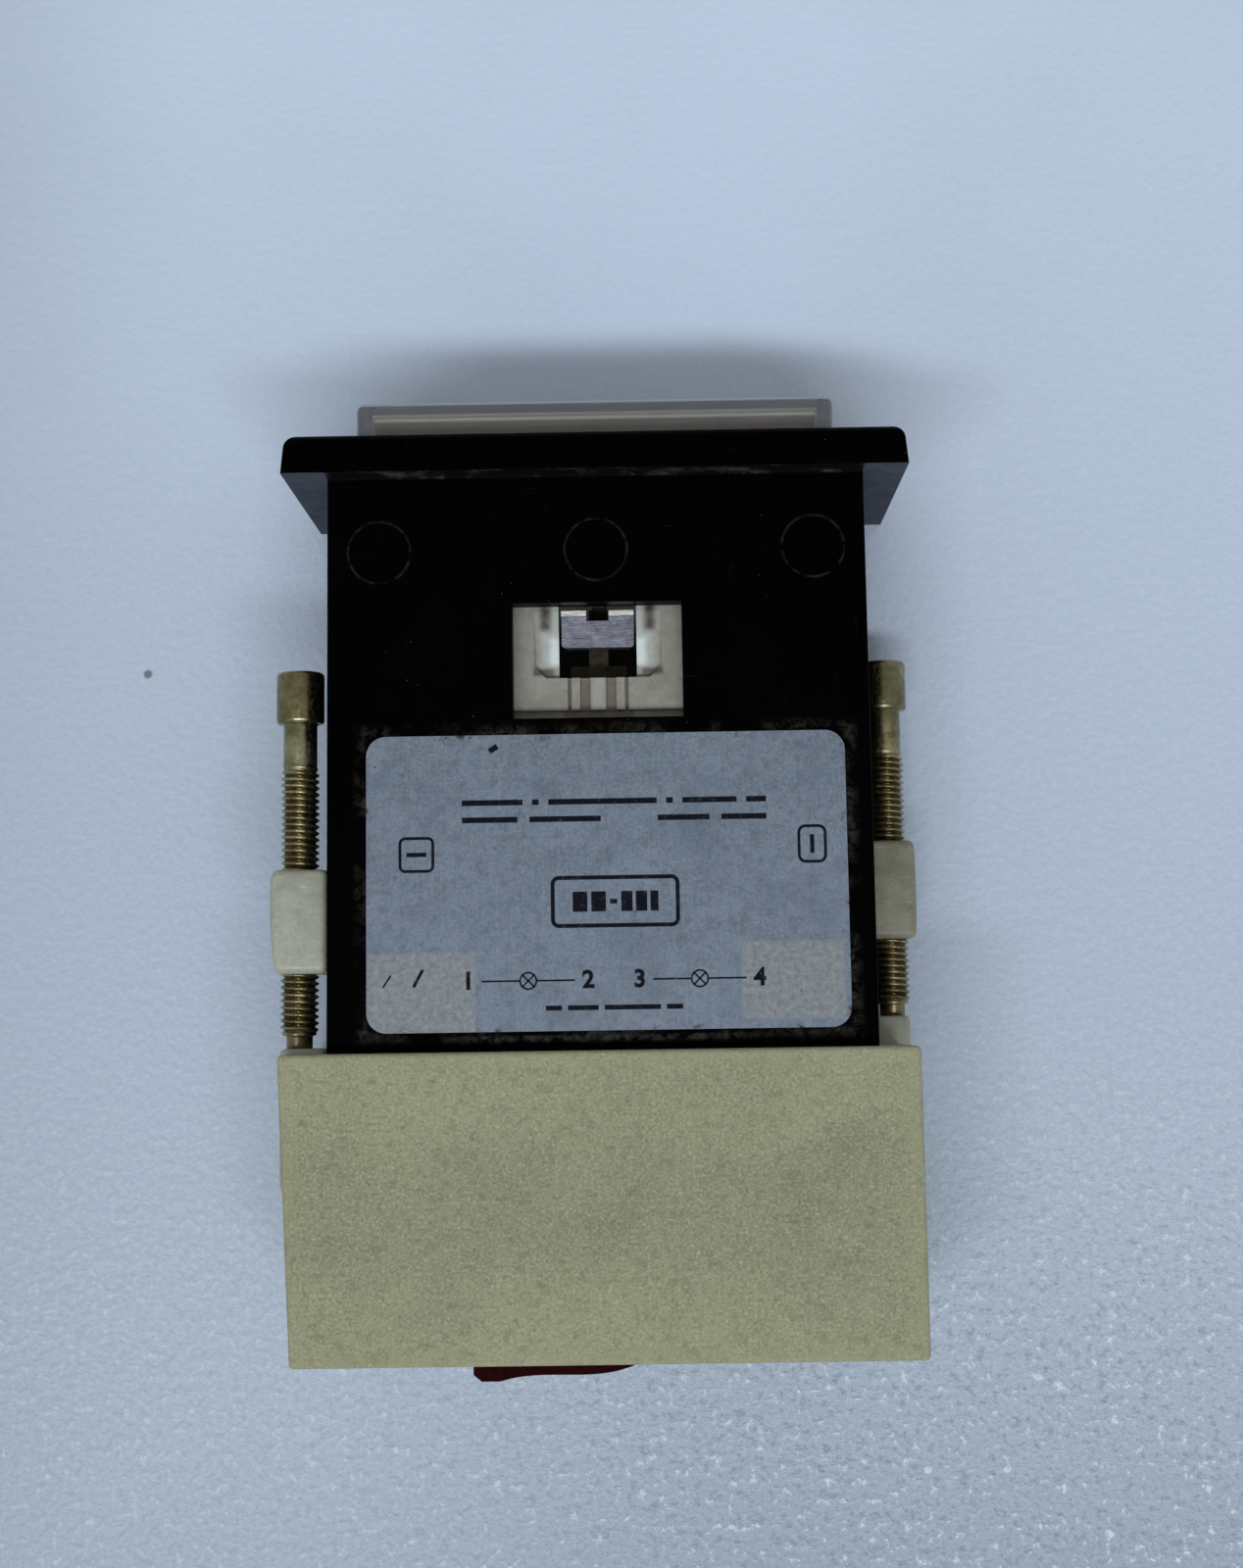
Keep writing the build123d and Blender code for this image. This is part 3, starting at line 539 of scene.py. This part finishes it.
def diffuser_plastic(front_y):
    """Milky diffuser with a painted highlight line along its front edge and a painted dark line just
    behind it.
    """
    s = Surface("diffuser", IOR=1.49, Subsurface_Weight=0.4, Subsurface_Scale=0.001)
    base = s.mix(s.span(s.noise(3.0, 4.0), 0.3, 0.7), (0.30, 0.30, 0.32), (0.40, 0.39, 0.41))
    _, y, _ = s.axes()
    streak = s.scratches(6.0, 0.3, "x", 0.50)
    base = s.mix(s.product(streak, 0.3), base, (0.52, 0.52, 0.54))
    # Painted highlight along the front edge
    line = s.span(y, front_y + 0.26 * MM, front_y + 0.36 * MM, 1.0, 0.0)
    base = s.mix(line, base, (1.0, 1.0, 0.98))
    # Painted shade: a dark line just behind the highlight
    behind = s.product(s.span(y, front_y + 0.30 * MM, front_y + 0.40 * MM),
                    s.span(y, front_y + 0.5 * MM, front_y + 0.8 * MM, 1.0, 0.0))
    base = s.mix(s.product(behind, 0.6), base, (0.16, 0.15, 0.15))
    s.colour(base)
    s.rough(s.span(s.noise(0.8, 4.0), 0.3, 0.7, 0.26, 0.42))
    s.relief(s.noise(0.6, 4.0), 0.01)
    return s.material


def phenolic():
    s = Surface("brown_phenolic", IOR=1.6)
    s.colour(s.mix(s.noise(0.6, 6.0, 0.7), (0.045, 0.02, 0.01), (0.09, 0.045, 0.025)))
    s.rough(s.span(s.noise(0.8), 0.3, 0.7, 0.35, 0.55))
    s.relief(s.noise(0.3, 3.0), 0.008)
    return s.material


def red_plastic():
    s = Surface("dark_red", IOR=1.5, Specular_IOR_Level=0.02)
    cloud = s.span(s.noise(1.2, 4.0), 0.35, 0.7)
    s.colour(s.mix(cloud, (0.010, 0.0006, 0.0004), (0.022, 0.0012, 0.0009)))
    s.rough(s.span(s.noise(0.6, 4.0), 0.3, 0.7, 0.22, 0.4))
    s.relief(s.noise(0.9, 3.0), 0.02)
    return s.material


def lamp_glass():
    s = Surface("lamp_glass", IOR=1.5, Transmission_Weight=1.0)
    s.colour(s.mix(s.noise(2.0), (0.95, 0.95, 0.93), (0.88, 0.88, 0.86)))
    s.rough(s.span(s.noise(1.0, 4.0), 0.4, 0.8, 0.02, 0.1))
    return s.material


def board():
    """Pale blue-white board with a fine lacquer grain, coarsely pebbled towards the rear."""
    s = Surface("pale_board", IOR=1.5)
    x, y, _ = s.axes()
    # Darker towards the rear: painted fall-off of the light across the board
    base = s.mix(s.span(y, -0.075, 0.075), (0.66, 0.79, 1.0), (0.37, 0.445, 0.565))
    base = s.mix(s.span(s.noise(50.0, 3.0), 0.35, 0.7, 0.0, 0.3), base, (0.47, 0.56, 0.70))
    base = s.mix(s.span(s.noise(0.45, 4.0, 0.6), 0.45, 0.7, 0.0, 0.25), base, (0.72, 0.80, 0.93))
    # Darker towards +X and the rear edge: painted shade towards the board's far sides
    edge = s.math("MAXIMUM", s.span(x, 0.030, 0.060, smooth=True), s.span(y, 0.040, 0.065, smooth=True))
    base = s.mix(s.product(edge, 0.32), base, (0.28, 0.335, 0.43))

    pebbled = s.product(s.span(y, 0.005, 0.045, smooth=True), s.span(x, -0.02, 0.03, 1.0, 0.35, True))
    pebble = s.noise(0.9, 4.0, 0.65)
    # Pebble crests paler as a painted highlight and hollows darker as painted shade
    crest = s.product(s.span(pebble, 0.58, 0.66, 0.0, 0.8), pebbled)
    base = s.mix(crest, base, (0.80, 0.88, 1.0))
    hollow = s.product(s.span(pebble, 0.36, 0.44, 0.5, 0.0), pebbled)
    base = s.mix(hollow, base, (0.24, 0.29, 0.38))

    speck = s.product(s.span(s.cells(9.0), 0.03, 0.05, 1.0, 0.0), s.span(s.noise(30.0), 0.54, 0.56))
    s.colour(s.mix(s.product(speck, 0.8), base, (0.10, 0.10, 0.12)))
    s.rough(s.span(s.noise(0.6, 4.0), 0.3, 0.7, 0.38, 0.6))
    s.relief(s.noise(0.8, 3.0, 0.5), 0.10)
    s.relief(s.product(pebble, pebbled), 0.45)
    return s.material


# ---------------------------------------------------------------- mesh helpers


def mesh_object(name, vertices, faces, smooth=False):
    mesh = bpy.data.meshes.new(name)
    mesh.from_pydata([tuple(vertex) for vertex in vertices], [], faces)
    mesh.validate()
    for polygon in mesh.polygons:
        polygon.use_smooth = smooth
    made = bpy.data.objects.new(name, mesh)
    bpy.context.scene.collection.objects.link(made)
    return made


def baked(source):
    """Applies an object's modifiers, so that its mesh is the finished shape."""
    graph = bpy.context.evaluated_depsgraph_get()
    mesh = bpy.data.meshes.new_from_object(source.evaluated_get(graph))
    source.modifiers.clear()
    source.data = mesh
    return source


def carve(target, *cutters):
    """Cuts the cutters' shapes out of the target and deletes them."""
    for cutter in cutters:
        step = target.modifiers.new("cut", "BOOLEAN")
        step.object = cutter
        step.operation = "DIFFERENCE"
        step.solver = "EXACT"
        baked(target)
        bpy.data.objects.remove(cutter)
    return target


def smoothed(target, limit=40):
    """Shades a mesh smooth, with edges sharper than the limit in degrees left crisp."""
    target.data.shade_smooth()
    target.data.set_sharp_from_angle(angle=math.radians(limit))
    return target


def rounded(target, width_mm, segments=3, limit=35):
    """Rounds the sharp edges and shades the result smooth by angle."""
    step = target.modifiers.new("round", "BEVEL")
    step.width = width_mm * MM
    step.segments = segments
    step.limit_method = "ANGLE"
    step.angle_limit = math.radians(limit)
    return smoothed(baked(target), 50)


def facing_out(made):
    """Turns every face of a closed mesh outwards."""
    shell = bmesh.new()
    shell.from_mesh(made.data)
    bmesh.ops.recalc_face_normals(shell, faces=shell.faces)
    shell.to_mesh(made.data)
    shell.free()
    return made


def rectangle(x0, depth0, x1, depth1):
    """Corners of a rectangle in (X, depth), for a slab."""
    return [(x0, depth0), (x1, depth0), (x1, depth1), (x0, depth1)]


def slab(name, outline, low_z, high_z):
    """Upright prism over an outline of (X, depth) points in millimetres."""
    count = len(outline)
    points = [at(x, depth, z) for z in (low_z, high_z) for x, depth in outline]
    faces = [tuple(range(count))[::-1], tuple(range(count, 2 * count))]
    faces += [(i, (i + 1) % count, count + (i + 1) % count, count + i) for i in range(count)]
    return facing_out(mesh_object(name, points, faces))


def ringed(name, points, sides):
    """Mesh over a row of closed rings with this many points each, capped at both ends."""
    last = len(points) - sides
    faces = []
    for start in range(0, last, sides):
        for i in range(sides):
            j = (i + 1) % sides
            faces.append((start + i, start + sides + i, start + sides + j, start + j))
    faces.append(tuple(range(sides)))
    faces.append(tuple(range(last, last + sides))[::-1])
    return mesh_object(name, points, faces)


def turned(name, rings, x, z, sides=48):
    """Solid turned about an axis along Y from (depth, radius) rings."""
    points = []
    for depth, radius in rings:
        for i in range(sides):
            angle = 2 * math.pi * i / sides
            points.append(at(x + radius * math.cos(angle), depth, z + radius * math.sin(angle)))
    return ringed(name, points, sides)


def centre_line(node):
    """X and height in millimetres of the line through the middle of a CAD node's box."""
    low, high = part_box(node)
    return (low.x + high.x) / 2 / MM, (low.z + high.z) / 2 / MM


def finish_piece(piece, material, body):
    piece.data.materials.clear()
    piece.data.materials.append(material)
    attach(piece, body)
    return piece


def joined(name, parts):
    """One object made of several meshes."""
    whole = bmesh.new()
    for part in parts:
        whole.from_mesh(part.data)
        bpy.data.objects.remove(part)
    made = mesh_object(name, [], [])
    whole.to_mesh(made.data)
    whole.free()
    return made


# ---------------------------------------------------------------- clamp screws

PITCH = 0.5
CREST_R = 1.47
ROOT_R = 1.17
# Shares of half a pitch from the crest: where the root begins, and the flank's width
ROOT_FROM = 0.93
FLANK = 0.76
NECK_R = 1.3
HEAD_R = 1.85
HEAD_L = 4.0
TAIL_R = 1.0
# Where the full thread starts and ends, from the head's face. It begins to grow RUN_IN before
# the start, over RUN_IN_L, and fades over RUN_OUT_L before the end
THREAD_FROM = 7.8
THREAD_TO = 27.9
RUN_IN = 0.6
RUN_IN_L = 0.9
RUN_OUT_L = 0.5
THREAD_SIDES = 40
STEPS_PER_PITCH = 10
# Values of the crest mark off the thread: on the tail, darkened as rust and painted shade, and on the
# head
TAIL_CREST = 0.25
HEAD_MARK = 1.5
SLOT_HALF_W = 0.3
SLOT_DEEP = 1.0
SLOT_HALF_H = 2.0
NUT_BORE_R = 1.52
NUT_INNER = 20.8
TONGUE_HALF_H = 1.4
TAIL_BORE_R = 1.05
DRIVER_BORE_R = 1.3


def thread_height(phase):
    """Metric thread profile: 0 at the root, 1 at the crest, over one pitch."""
    distance = abs((phase % 1.0) - 0.5) * 2
    return min(1.0, max(0.0, (ROOT_FROM - distance) / FLANK))


def screw_rings(length):
    """(distance from the head's face, radius, thread share) along the screw, in millimetres."""
    rings = [(0.0, HEAD_R - 0.28, 0), (0.02, HEAD_R - 0.2, 0), (0.16, HEAD_R - 0.04, 0),
             (0.28, HEAD_R, 0), (HEAD_L - 0.3, HEAD_R, 0), (HEAD_L - 0.12, HEAD_R - 0.02, 0),
             (HEAD_L, HEAD_R - 0.14, 0), (HEAD_L + 0.02, NECK_R + 0.12, 0), (HEAD_L + 0.14, NECK_R, 0)]
    steps = int((THREAD_TO - THREAD_FROM + RUN_IN) / PITCH * STEPS_PER_PITCH)
    for step in range(steps + 1):
        place = THREAD_FROM - RUN_IN + step * PITCH / STEPS_PER_PITCH
        run_in = min(1.0, max(0.0, (place - THREAD_FROM + RUN_IN) / RUN_IN_L))
        run_out = min(1.0, max(0.0, (THREAD_TO - place) / RUN_OUT_L))
        rings.append((place, None, min(run_in, run_out)))
    rings += [(THREAD_TO + 0.05, TAIL_R + 0.05, 0), (THREAD_TO + 0.12, TAIL_R, 0),
              (length - 0.15, TAIL_R, 0), (length, TAIL_R - 0.15, 0)]
    return rings


def clamp_screw(side):
    """Threaded screw in place of the CAD screw, whose thread is a plain cylinder."""
    node = f"clamp_screw_{side}"
    low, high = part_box(node)
    x, z = centre_line(node)
    start = depth_of(low.y)
    rings = screw_rings((high.y - low.y) / MM)
    points, crest = [], []
    for place, radius, share in rings:
        for i in range(THREAD_SIDES):
            turn = i / THREAD_SIDES
            ring_r = radius
            height = TAIL_CREST if place > THREAD_TO else HEAD_MARK
            if radius is None:
                wave = thread_height(place / PITCH - turn)
                thread_r = ROOT_R + (CREST_R - ROOT_R) * wave
                ring_r = NECK_R + (thread_r - NECK_R) * share
                height = 1.0 - share * (1.0 - wave)
            angle = 2 * math.pi * turn
            points.append(at(x + ring_r * math.cos(angle), start + place, z + ring_r * math.sin(angle)))
            crest.append(height)
    screw = ringed(f"threaded_screw_{side}", points, THREAD_SIDES)
    layer = screw.data.attributes.new("crest", "FLOAT", "POINT")
    layer.data.foreach_set("value", crest)
    tip = start + rings[-1][0]
    outline = rectangle(x - SLOT_HALF_W, tip - SLOT_DEEP, x + SLOT_HALF_W, tip + SLOT_DEEP)
    carve(screw, slab("slot", outline, z - SLOT_HALF_H, z + SLOT_HALF_H))
    smoothed(screw)
    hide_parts(node)
    return finish_piece(screw, ZINC, f"screw_{side}")


# Crown and taper of each nut's outer side in millimetres
NUT_WEAR = {"right": (0.22, 0.30), "left": (0.08, 0.0)}


def clamp_nut(side):
    """Nut with a barrel-shaped outer side, softened corners and a track tongue."""
    node = f"clamp_nut_{side}"
    low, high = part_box(node)
    sign = 1 if side == "right" else -1
    start, end = depth_of(low.y), depth_of(high.y)
    _, z_mid = centre_line(node)
    half_h = (high.z - low.z) / 2 / MM
    outer = max(abs(low.x), abs(high.x)) / MM
    crown, taper = NUT_WEAR[side]
    steps = 10
    shares = [i / steps for i in range(steps + 1)]
    reaches = [crown * (1 - (2 * share - 1) ** 2) - taper * share for share in shares]
    outline = [(sign * NUT_INNER, start)]
    for share, reach in zip(shares, reaches):
        outline.append((sign * (outer - max(reaches) + reach), start + (end - start) * share))
    outline.append((sign * NUT_INNER, end))
    nut = rounded(slab(f"barrel_nut_{side}", outline, z_mid - half_h, z_mid + half_h), 0.55, 4)
    tongue_in = min(abs(low.x), abs(high.x)) / MM
    tongue_outline = rectangle(sign * tongue_in, start + 0.05, sign * (NUT_INNER + 0.6), end - 0.05)
    tongue = slab("tongue", tongue_outline, z_mid - TONGUE_HALF_H, z_mid + TONGUE_HALF_H)
    union = nut.modifiers.new("tongue", "BOOLEAN")
    union.object = tongue
    union.operation = "UNION"
    union.solver = "EXACT"
    baked(nut)
    bpy.data.objects.remove(tongue)
    x, _ = centre_line(f"clamp_screw_{side}")
    carve(nut, turned("bore", [(start - 1, NUT_BORE_R), (end + 1, NUT_BORE_R)], x, z_mid))
    smoothed(nut)
    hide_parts(node)
    return finish_piece(nut, NYLON[side], f"nut_{side}")


def screw_foot(side):
    """Softened shoe on the screw's tail, bored through for a driver."""
    node = f"screw_foot_{side}"
    low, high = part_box(node)
    start, end = depth_of(low.y), depth_of(high.y)
    outline = rectangle(low.x / MM, start, high.x / MM, end)
    foot = rounded(slab(f"screw_shoe_{side}", outline, low.z / MM, high.z / MM), 0.4, 4)
    x, z = centre_line(f"clamp_screw_{side}")
    tail = depth_of(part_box(f"clamp_screw_{side}")[1].y) + 0.1
    bore = [(start - 1, TAIL_BORE_R), (tail, TAIL_BORE_R),
            (tail, DRIVER_BORE_R), (end + 1, DRIVER_BORE_R)]
    carve(foot, turned("bore", bore, x, z))
    smoothed(foot)
    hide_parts(node)
    return finish_piece(foot, NYLON["right"], f"foot_{side}")


# ---------------------------------------------------------------- label print

PRINT_T = 0.02
# Places on the label: X from its middle and depth behind its front edge, in millimetres.
# Rows of bars: depth, bar height, first X, bar lengths, gap
TEXT_BARS = (
    (5.15, 0.42, 10.9, (4.6, 0.5, 8.2, 0.5, 4.1, 1.5), 0.72),
    (6.45, 0.42, 10.9, (4.2, 5.4), 0.9),
    (6.45, 0.42, -3.9, (3.9, 3.4), 0.9),
    (20.6, 0.36, 4.7, (1.2, 2.3, 4.2, 1.2), 0.45),
)
TYPE_BARS = (
    (12.7, 1.5, 2.6, (1.1, 1.1), 0.3),
    (12.7, 0.35, -0.2, (0.55,), 0.3),
    (12.7, 1.5, -1.05, (0.85, 0.85, 0.6), 0.25),
)
# Blank marks at the two sides and the type field: X, depth, width, length, corner radius, line
FRAMES = (
    (14.35, 9.0, 2.7, 2.7, 0.5, 0.22),
    (-15.5, 8.6, 2.2, 2.9, 0.6, 0.22),
    (-0.6, 12.7, 9.7, 3.9, 0.6, 0.3),
)
# Strokes in the blank marks, slanting smudges on a rubbed corner and a chip at the front edge:
# X and depth of both ends, line
STROKES = (
    (15.1, 9.0, 13.6, 9.0, 0.32),
    (-15.5, 7.9, -15.5, 9.3, 0.32),
    (13.9, 17.6, 14.6, 18.9, 0.24),
    (16.3, 18.0, 16.9, 18.9, 0.13),
    (8.2, 0.85, 8.8, 1.25, 0.42),
)
# Two circuits, each a lamp between two numbered terminals: the lamp's X and the numbers
CIRCUITS = ((6.0, ("1", "2")), (-6.85, ("3", "4")))
CIRCUIT_ROW = 18.55
LAMP_R = 0.68
LEAD_END = 3.5
NUMBER_OFFSET = 4.5
NUMBER_HEIGHT = 1.35
LAMP_LINE = 0.13
CROSS_LINE = 0.12


def bar(x0, d0, x1, d1, width, z):
    """Straight printed line between two (X, depth) points."""
    run = Vector((x1 - x0, d1 - d0))
    side = Vector((-run.y, run.x)).normalized() * width / 2
    outline = [(x0 + side.x, d0 + side.y), (x0 - side.x, d0 - side.y), (x1 - side.x, d1 - side.y),
               (x1 + side.x, d1 + side.y)]
    return slab("bar", outline, z, z + PRINT_T)


def outline_print(points, width, z):
    """Closed printed outline of one line width inside the given points round a centre."""
    count = len(points)
    centre = sum((Vector(p) for p in points), Vector((0, 0))) / count
    inner = []
    for i, point in enumerate(points):
        before, after = Vector(points[i - 1]), Vector(points[(i + 1) % count])
        along = (after - before).normalized()
        normal = Vector((-along.y, along.x))
        if normal.dot(centre - Vector(point)) < 0:
            normal = -normal
        inner.append(Vector(point) + normal * width)
    loop = [at(p[0], p[1], z + level) for level in (0, PRINT_T) for p in [*points, *inner]]
    faces = []
    for i in range(count):
        j = (i + 1) % count
        top = 2 * count
        faces += [(top + i, top + j, top + count + j, top + count + i), (i, count + i, count + j, j),
                  (i, j, top + j, top + i), (count + i, top + count + i, top + count + j, count + j)]
    return facing_out(mesh_object("outline", loop, faces))


def rounded_rectangle(x, depth, width, height, radius, steps=6):
    points = []
    for quarter, (sx, sy) in enumerate(((1, 1), (-1, 1), (-1, -1), (1, -1))):
        for i in range(steps + 1):
            angle = math.pi / 2 * (quarter + i / steps)
            points.append((x + sx * (width / 2 - radius) + radius * math.cos(angle),
                           depth + sy * (height / 2 - radius) + radius * math.sin(angle)))
    return points


def circle_points(x, depth, radius, steps=40):
    turns = [2 * math.pi * i / steps for i in range(steps)]
    return [(x + radius * math.cos(turn), depth + radius * math.sin(turn)) for turn in turns]


def numeral(text, x, depth, height, z):
    """A terminal number, read with the lens side up, as a thin solid."""
    curve = bpy.data.curves.new("numeral", "FONT")
    curve.body = text
    curve.align_x = "CENTER"
    curve.align_y = "CENTER"
    curve.size = height * 1.35 * MM
    curve.extrude = PRINT_T / 2 * MM
    curve.offset = 0.06 * MM
    holder = bpy.data.objects.new("numeral", curve)
    bpy.context.scene.collection.objects.link(holder)
    mesh = bpy.data.meshes.new_from_object(holder)
    bpy.data.objects.remove(holder)
    place = Matrix.Translation(at(x, depth, z + PRINT_T / 2))
    mesh.transform(place @ Matrix.Rotation(math.pi, 4, "Z"))
    made = bpy.data.objects.new("numeral", mesh)
    bpy.context.scene.collection.objects.link(made)
    return made


def label_print():
    """Neutral print: ruled bars for the text lines, blank marks, and the two lamp circuits."""
    low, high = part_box("rating_label")
    z = high.z / MM
    middle = (low.x + high.x) / 2 / MM
    front = depth_of(low.y)
    parts = []
    for depth, height, first_x, lengths, gap in (*TEXT_BARS, *TYPE_BARS):
        x = middle + first_x
        for length in lengths:
            parts.append(bar(x, front + depth, x - length, front + depth, height, z))
            x -= length + gap
    for x, depth, width, length, radius, line in FRAMES:
        corners = rounded_rectangle(middle + x, front + depth, width, length, radius)
        parts.append(outline_print(corners, line, z))
    for x0, depth0, x1, depth1, line in STROKES:
        parts.append(bar(middle + x0, front + depth0, middle + x1, front + depth1, line, z))

    row = front + CIRCUIT_ROW
    reach = LAMP_R * math.cos(math.pi / 4)
    for offset, numbers in CIRCUITS:
        lamp_x = middle + offset
        parts.append(outline_print(circle_points(lamp_x, row, LAMP_R), LAMP_LINE, z))
        for sign in (-1, 1):
            cross = (lamp_x - reach, row - sign * reach, lamp_x + reach, row + sign * reach)
            parts.append(bar(*cross, CROSS_LINE, z))
            parts.append(bar(lamp_x + sign * LAMP_R, row, lamp_x + sign * LEAD_END, row, LAMP_LINE, z))
        for number, side in zip(numbers, (1, -1)):
            parts.append(numeral(number, lamp_x + side * NUMBER_OFFSET, row, NUMBER_HEIGHT, z))
    return finish_piece(joined("label_print", parts), INK, "housing")


# ---------------------------------------------------------------- stage, light, camera


def floor():
    half = 0.9
    corners = [(-half, -half, 0), (half, -half, 0), (half, half, 0), (-half, half, 0)]
    made = mesh_object("board", corners, [(0, 1, 2, 3)])
    made.location.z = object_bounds()[0].z
    made.data.materials.append(board())


def area_light(name, place, target, size, energy, tint):
    data = bpy.data.lights.new(name, "AREA")
    data.shape = "RECTANGLE"
    data.size, data.size_y = size
    data.energy = energy
    data.color = tint
    light = bpy.data.objects.new(name, data)
    light.location = place
    light.rotation_euler = (Vector(target) - Vector(place)).to_track_quat("-Z", "Y").to_euler()
    bpy.context.scene.collection.objects.link(light)


def lighting():
    world = bpy.data.worlds.new("room")
    world.use_nodes = True
    background = world.node_tree.nodes["Background"]
    background.inputs["Color"].default_value = (1.0, 0.98, 0.94, 1.0)
    background.inputs["Strength"].default_value = 0.37
    bpy.context.scene.world = world
    area_light("ceiling_tube", place=(0.033, 0.35, 0.80), target=(0, 0, 0), size=(0.70, 0.09),
               energy=4.1, tint=(0.93, 0.97, 1.0))
    bpy.context.scene.view_settings.view_transform = "Standard"


def camera():
    """Nearly straight down on the broad side, with the lens side at the top of the frame."""
    data = bpy.data.cameras.new("camera")
    data.lens = 56.9
    data.sensor_width = 36.0
    data.shift_y = -0.075
    data.clip_start = 0.01
    made = bpy.data.objects.new("camera", data)
    bpy.context.scene.collection.objects.link(made)
    made.location = at(-3.68, 41.6, 209.0)
    aim = at(-1.62, 11.9, 0.0)
    forward = (aim - made.location).normalized()
    right = forward.cross(Vector((0, -1, 0))).normalized()
    up = right.cross(forward)
    roll = Matrix.Rotation(math.radians(0.87), 3, forward)
    axes = Matrix((roll @ right, roll @ up, -(roll @ forward))).transposed()
    made.rotation_euler = axes.to_euler()
    bpy.context.scene.camera = made


# ---------------------------------------------------------------- put together

camera()
lighting()
floor()

label_low, label_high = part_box("rating_label")
block_low, block_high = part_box("rear_block")
ZINC = yellow_zinc()
NYLON = {
    "right": nylon("nylon_clean", (0.32, 0.345, 0.285), (0.42, 0.445, 0.375)),
    # Darker copy for the left nut: painted shade, with a browner tone
    "left": nylon("nylon_shaded_brown", (0.205, 0.205, 0.150), (0.285, 0.285, 0.215)),
}
INK = ink()
BRASS = metal("tab_brass", (0.42, 0.36, 0.22), (0.60, 0.54, 0.38), 0.3, "y")
FINISH = {
    "housing_shell": black_plastic(label_low, label_high),
    "rear_block": ivory_block(block_low, block_high),
    "rating_label": label_foil(label_low, label_high),
    "lens_cap": clear_plastic("lens_clear", (0.72, 0.70, 0.67), 0.02, LENS_FRONT),
    "legend_film": diffusing_plastic("film", (0.55, 0.55, 0.55), (0.62, 0.62, 0.61), 0.2, 0.0005),
    "diffuser": diffuser_plastic(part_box("diffuser")[0].y),
    "lamp_carrier": carrier_plastic(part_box("lamp_carrier")[1].z),
    "light_barrier": plain_black("barrier"),
    "latch_plate": latch_steel(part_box("latch_plate")[1].z),
    "latch_leaf": metal("leaf_brass", (0.035, 0.033, 0.022), (0.06, 0.055, 0.04), 0.5),
    "terminal_base": phenolic(),
    "pull_tab": red_plastic(),
}
glass = lamp_glass()
base_black = plain_black("lamp_base")
contact = metal("lamp_contact", (0.55, 0.44, 0.22), (0.70, 0.58, 0.32), 0.28, "y")
tungsten = metal("tungsten", (0.20, 0.20, 0.21), (0.33, 0.33, 0.34), 0.4, "y")
for side in ("left", "right"):
    clamp_screw(side)
    clamp_nut(side)
    screw_foot(side)
    FINISH[f"lamp_glass_{side}"] = glass
    FINISH[f"lamp_base_{side}"] = base_black
    FINISH[f"lamp_contacts_{side}"] = contact
    FINISH[f"lamp_filament_{side}"] = tungsten
for number in range(1, 5):
    FINISH[f"terminal_{number}"] = BRASS
for node, material in FINISH.items():
    for holder in frame["nodes"][node].material_slots:
        holder.material = material
label_print()
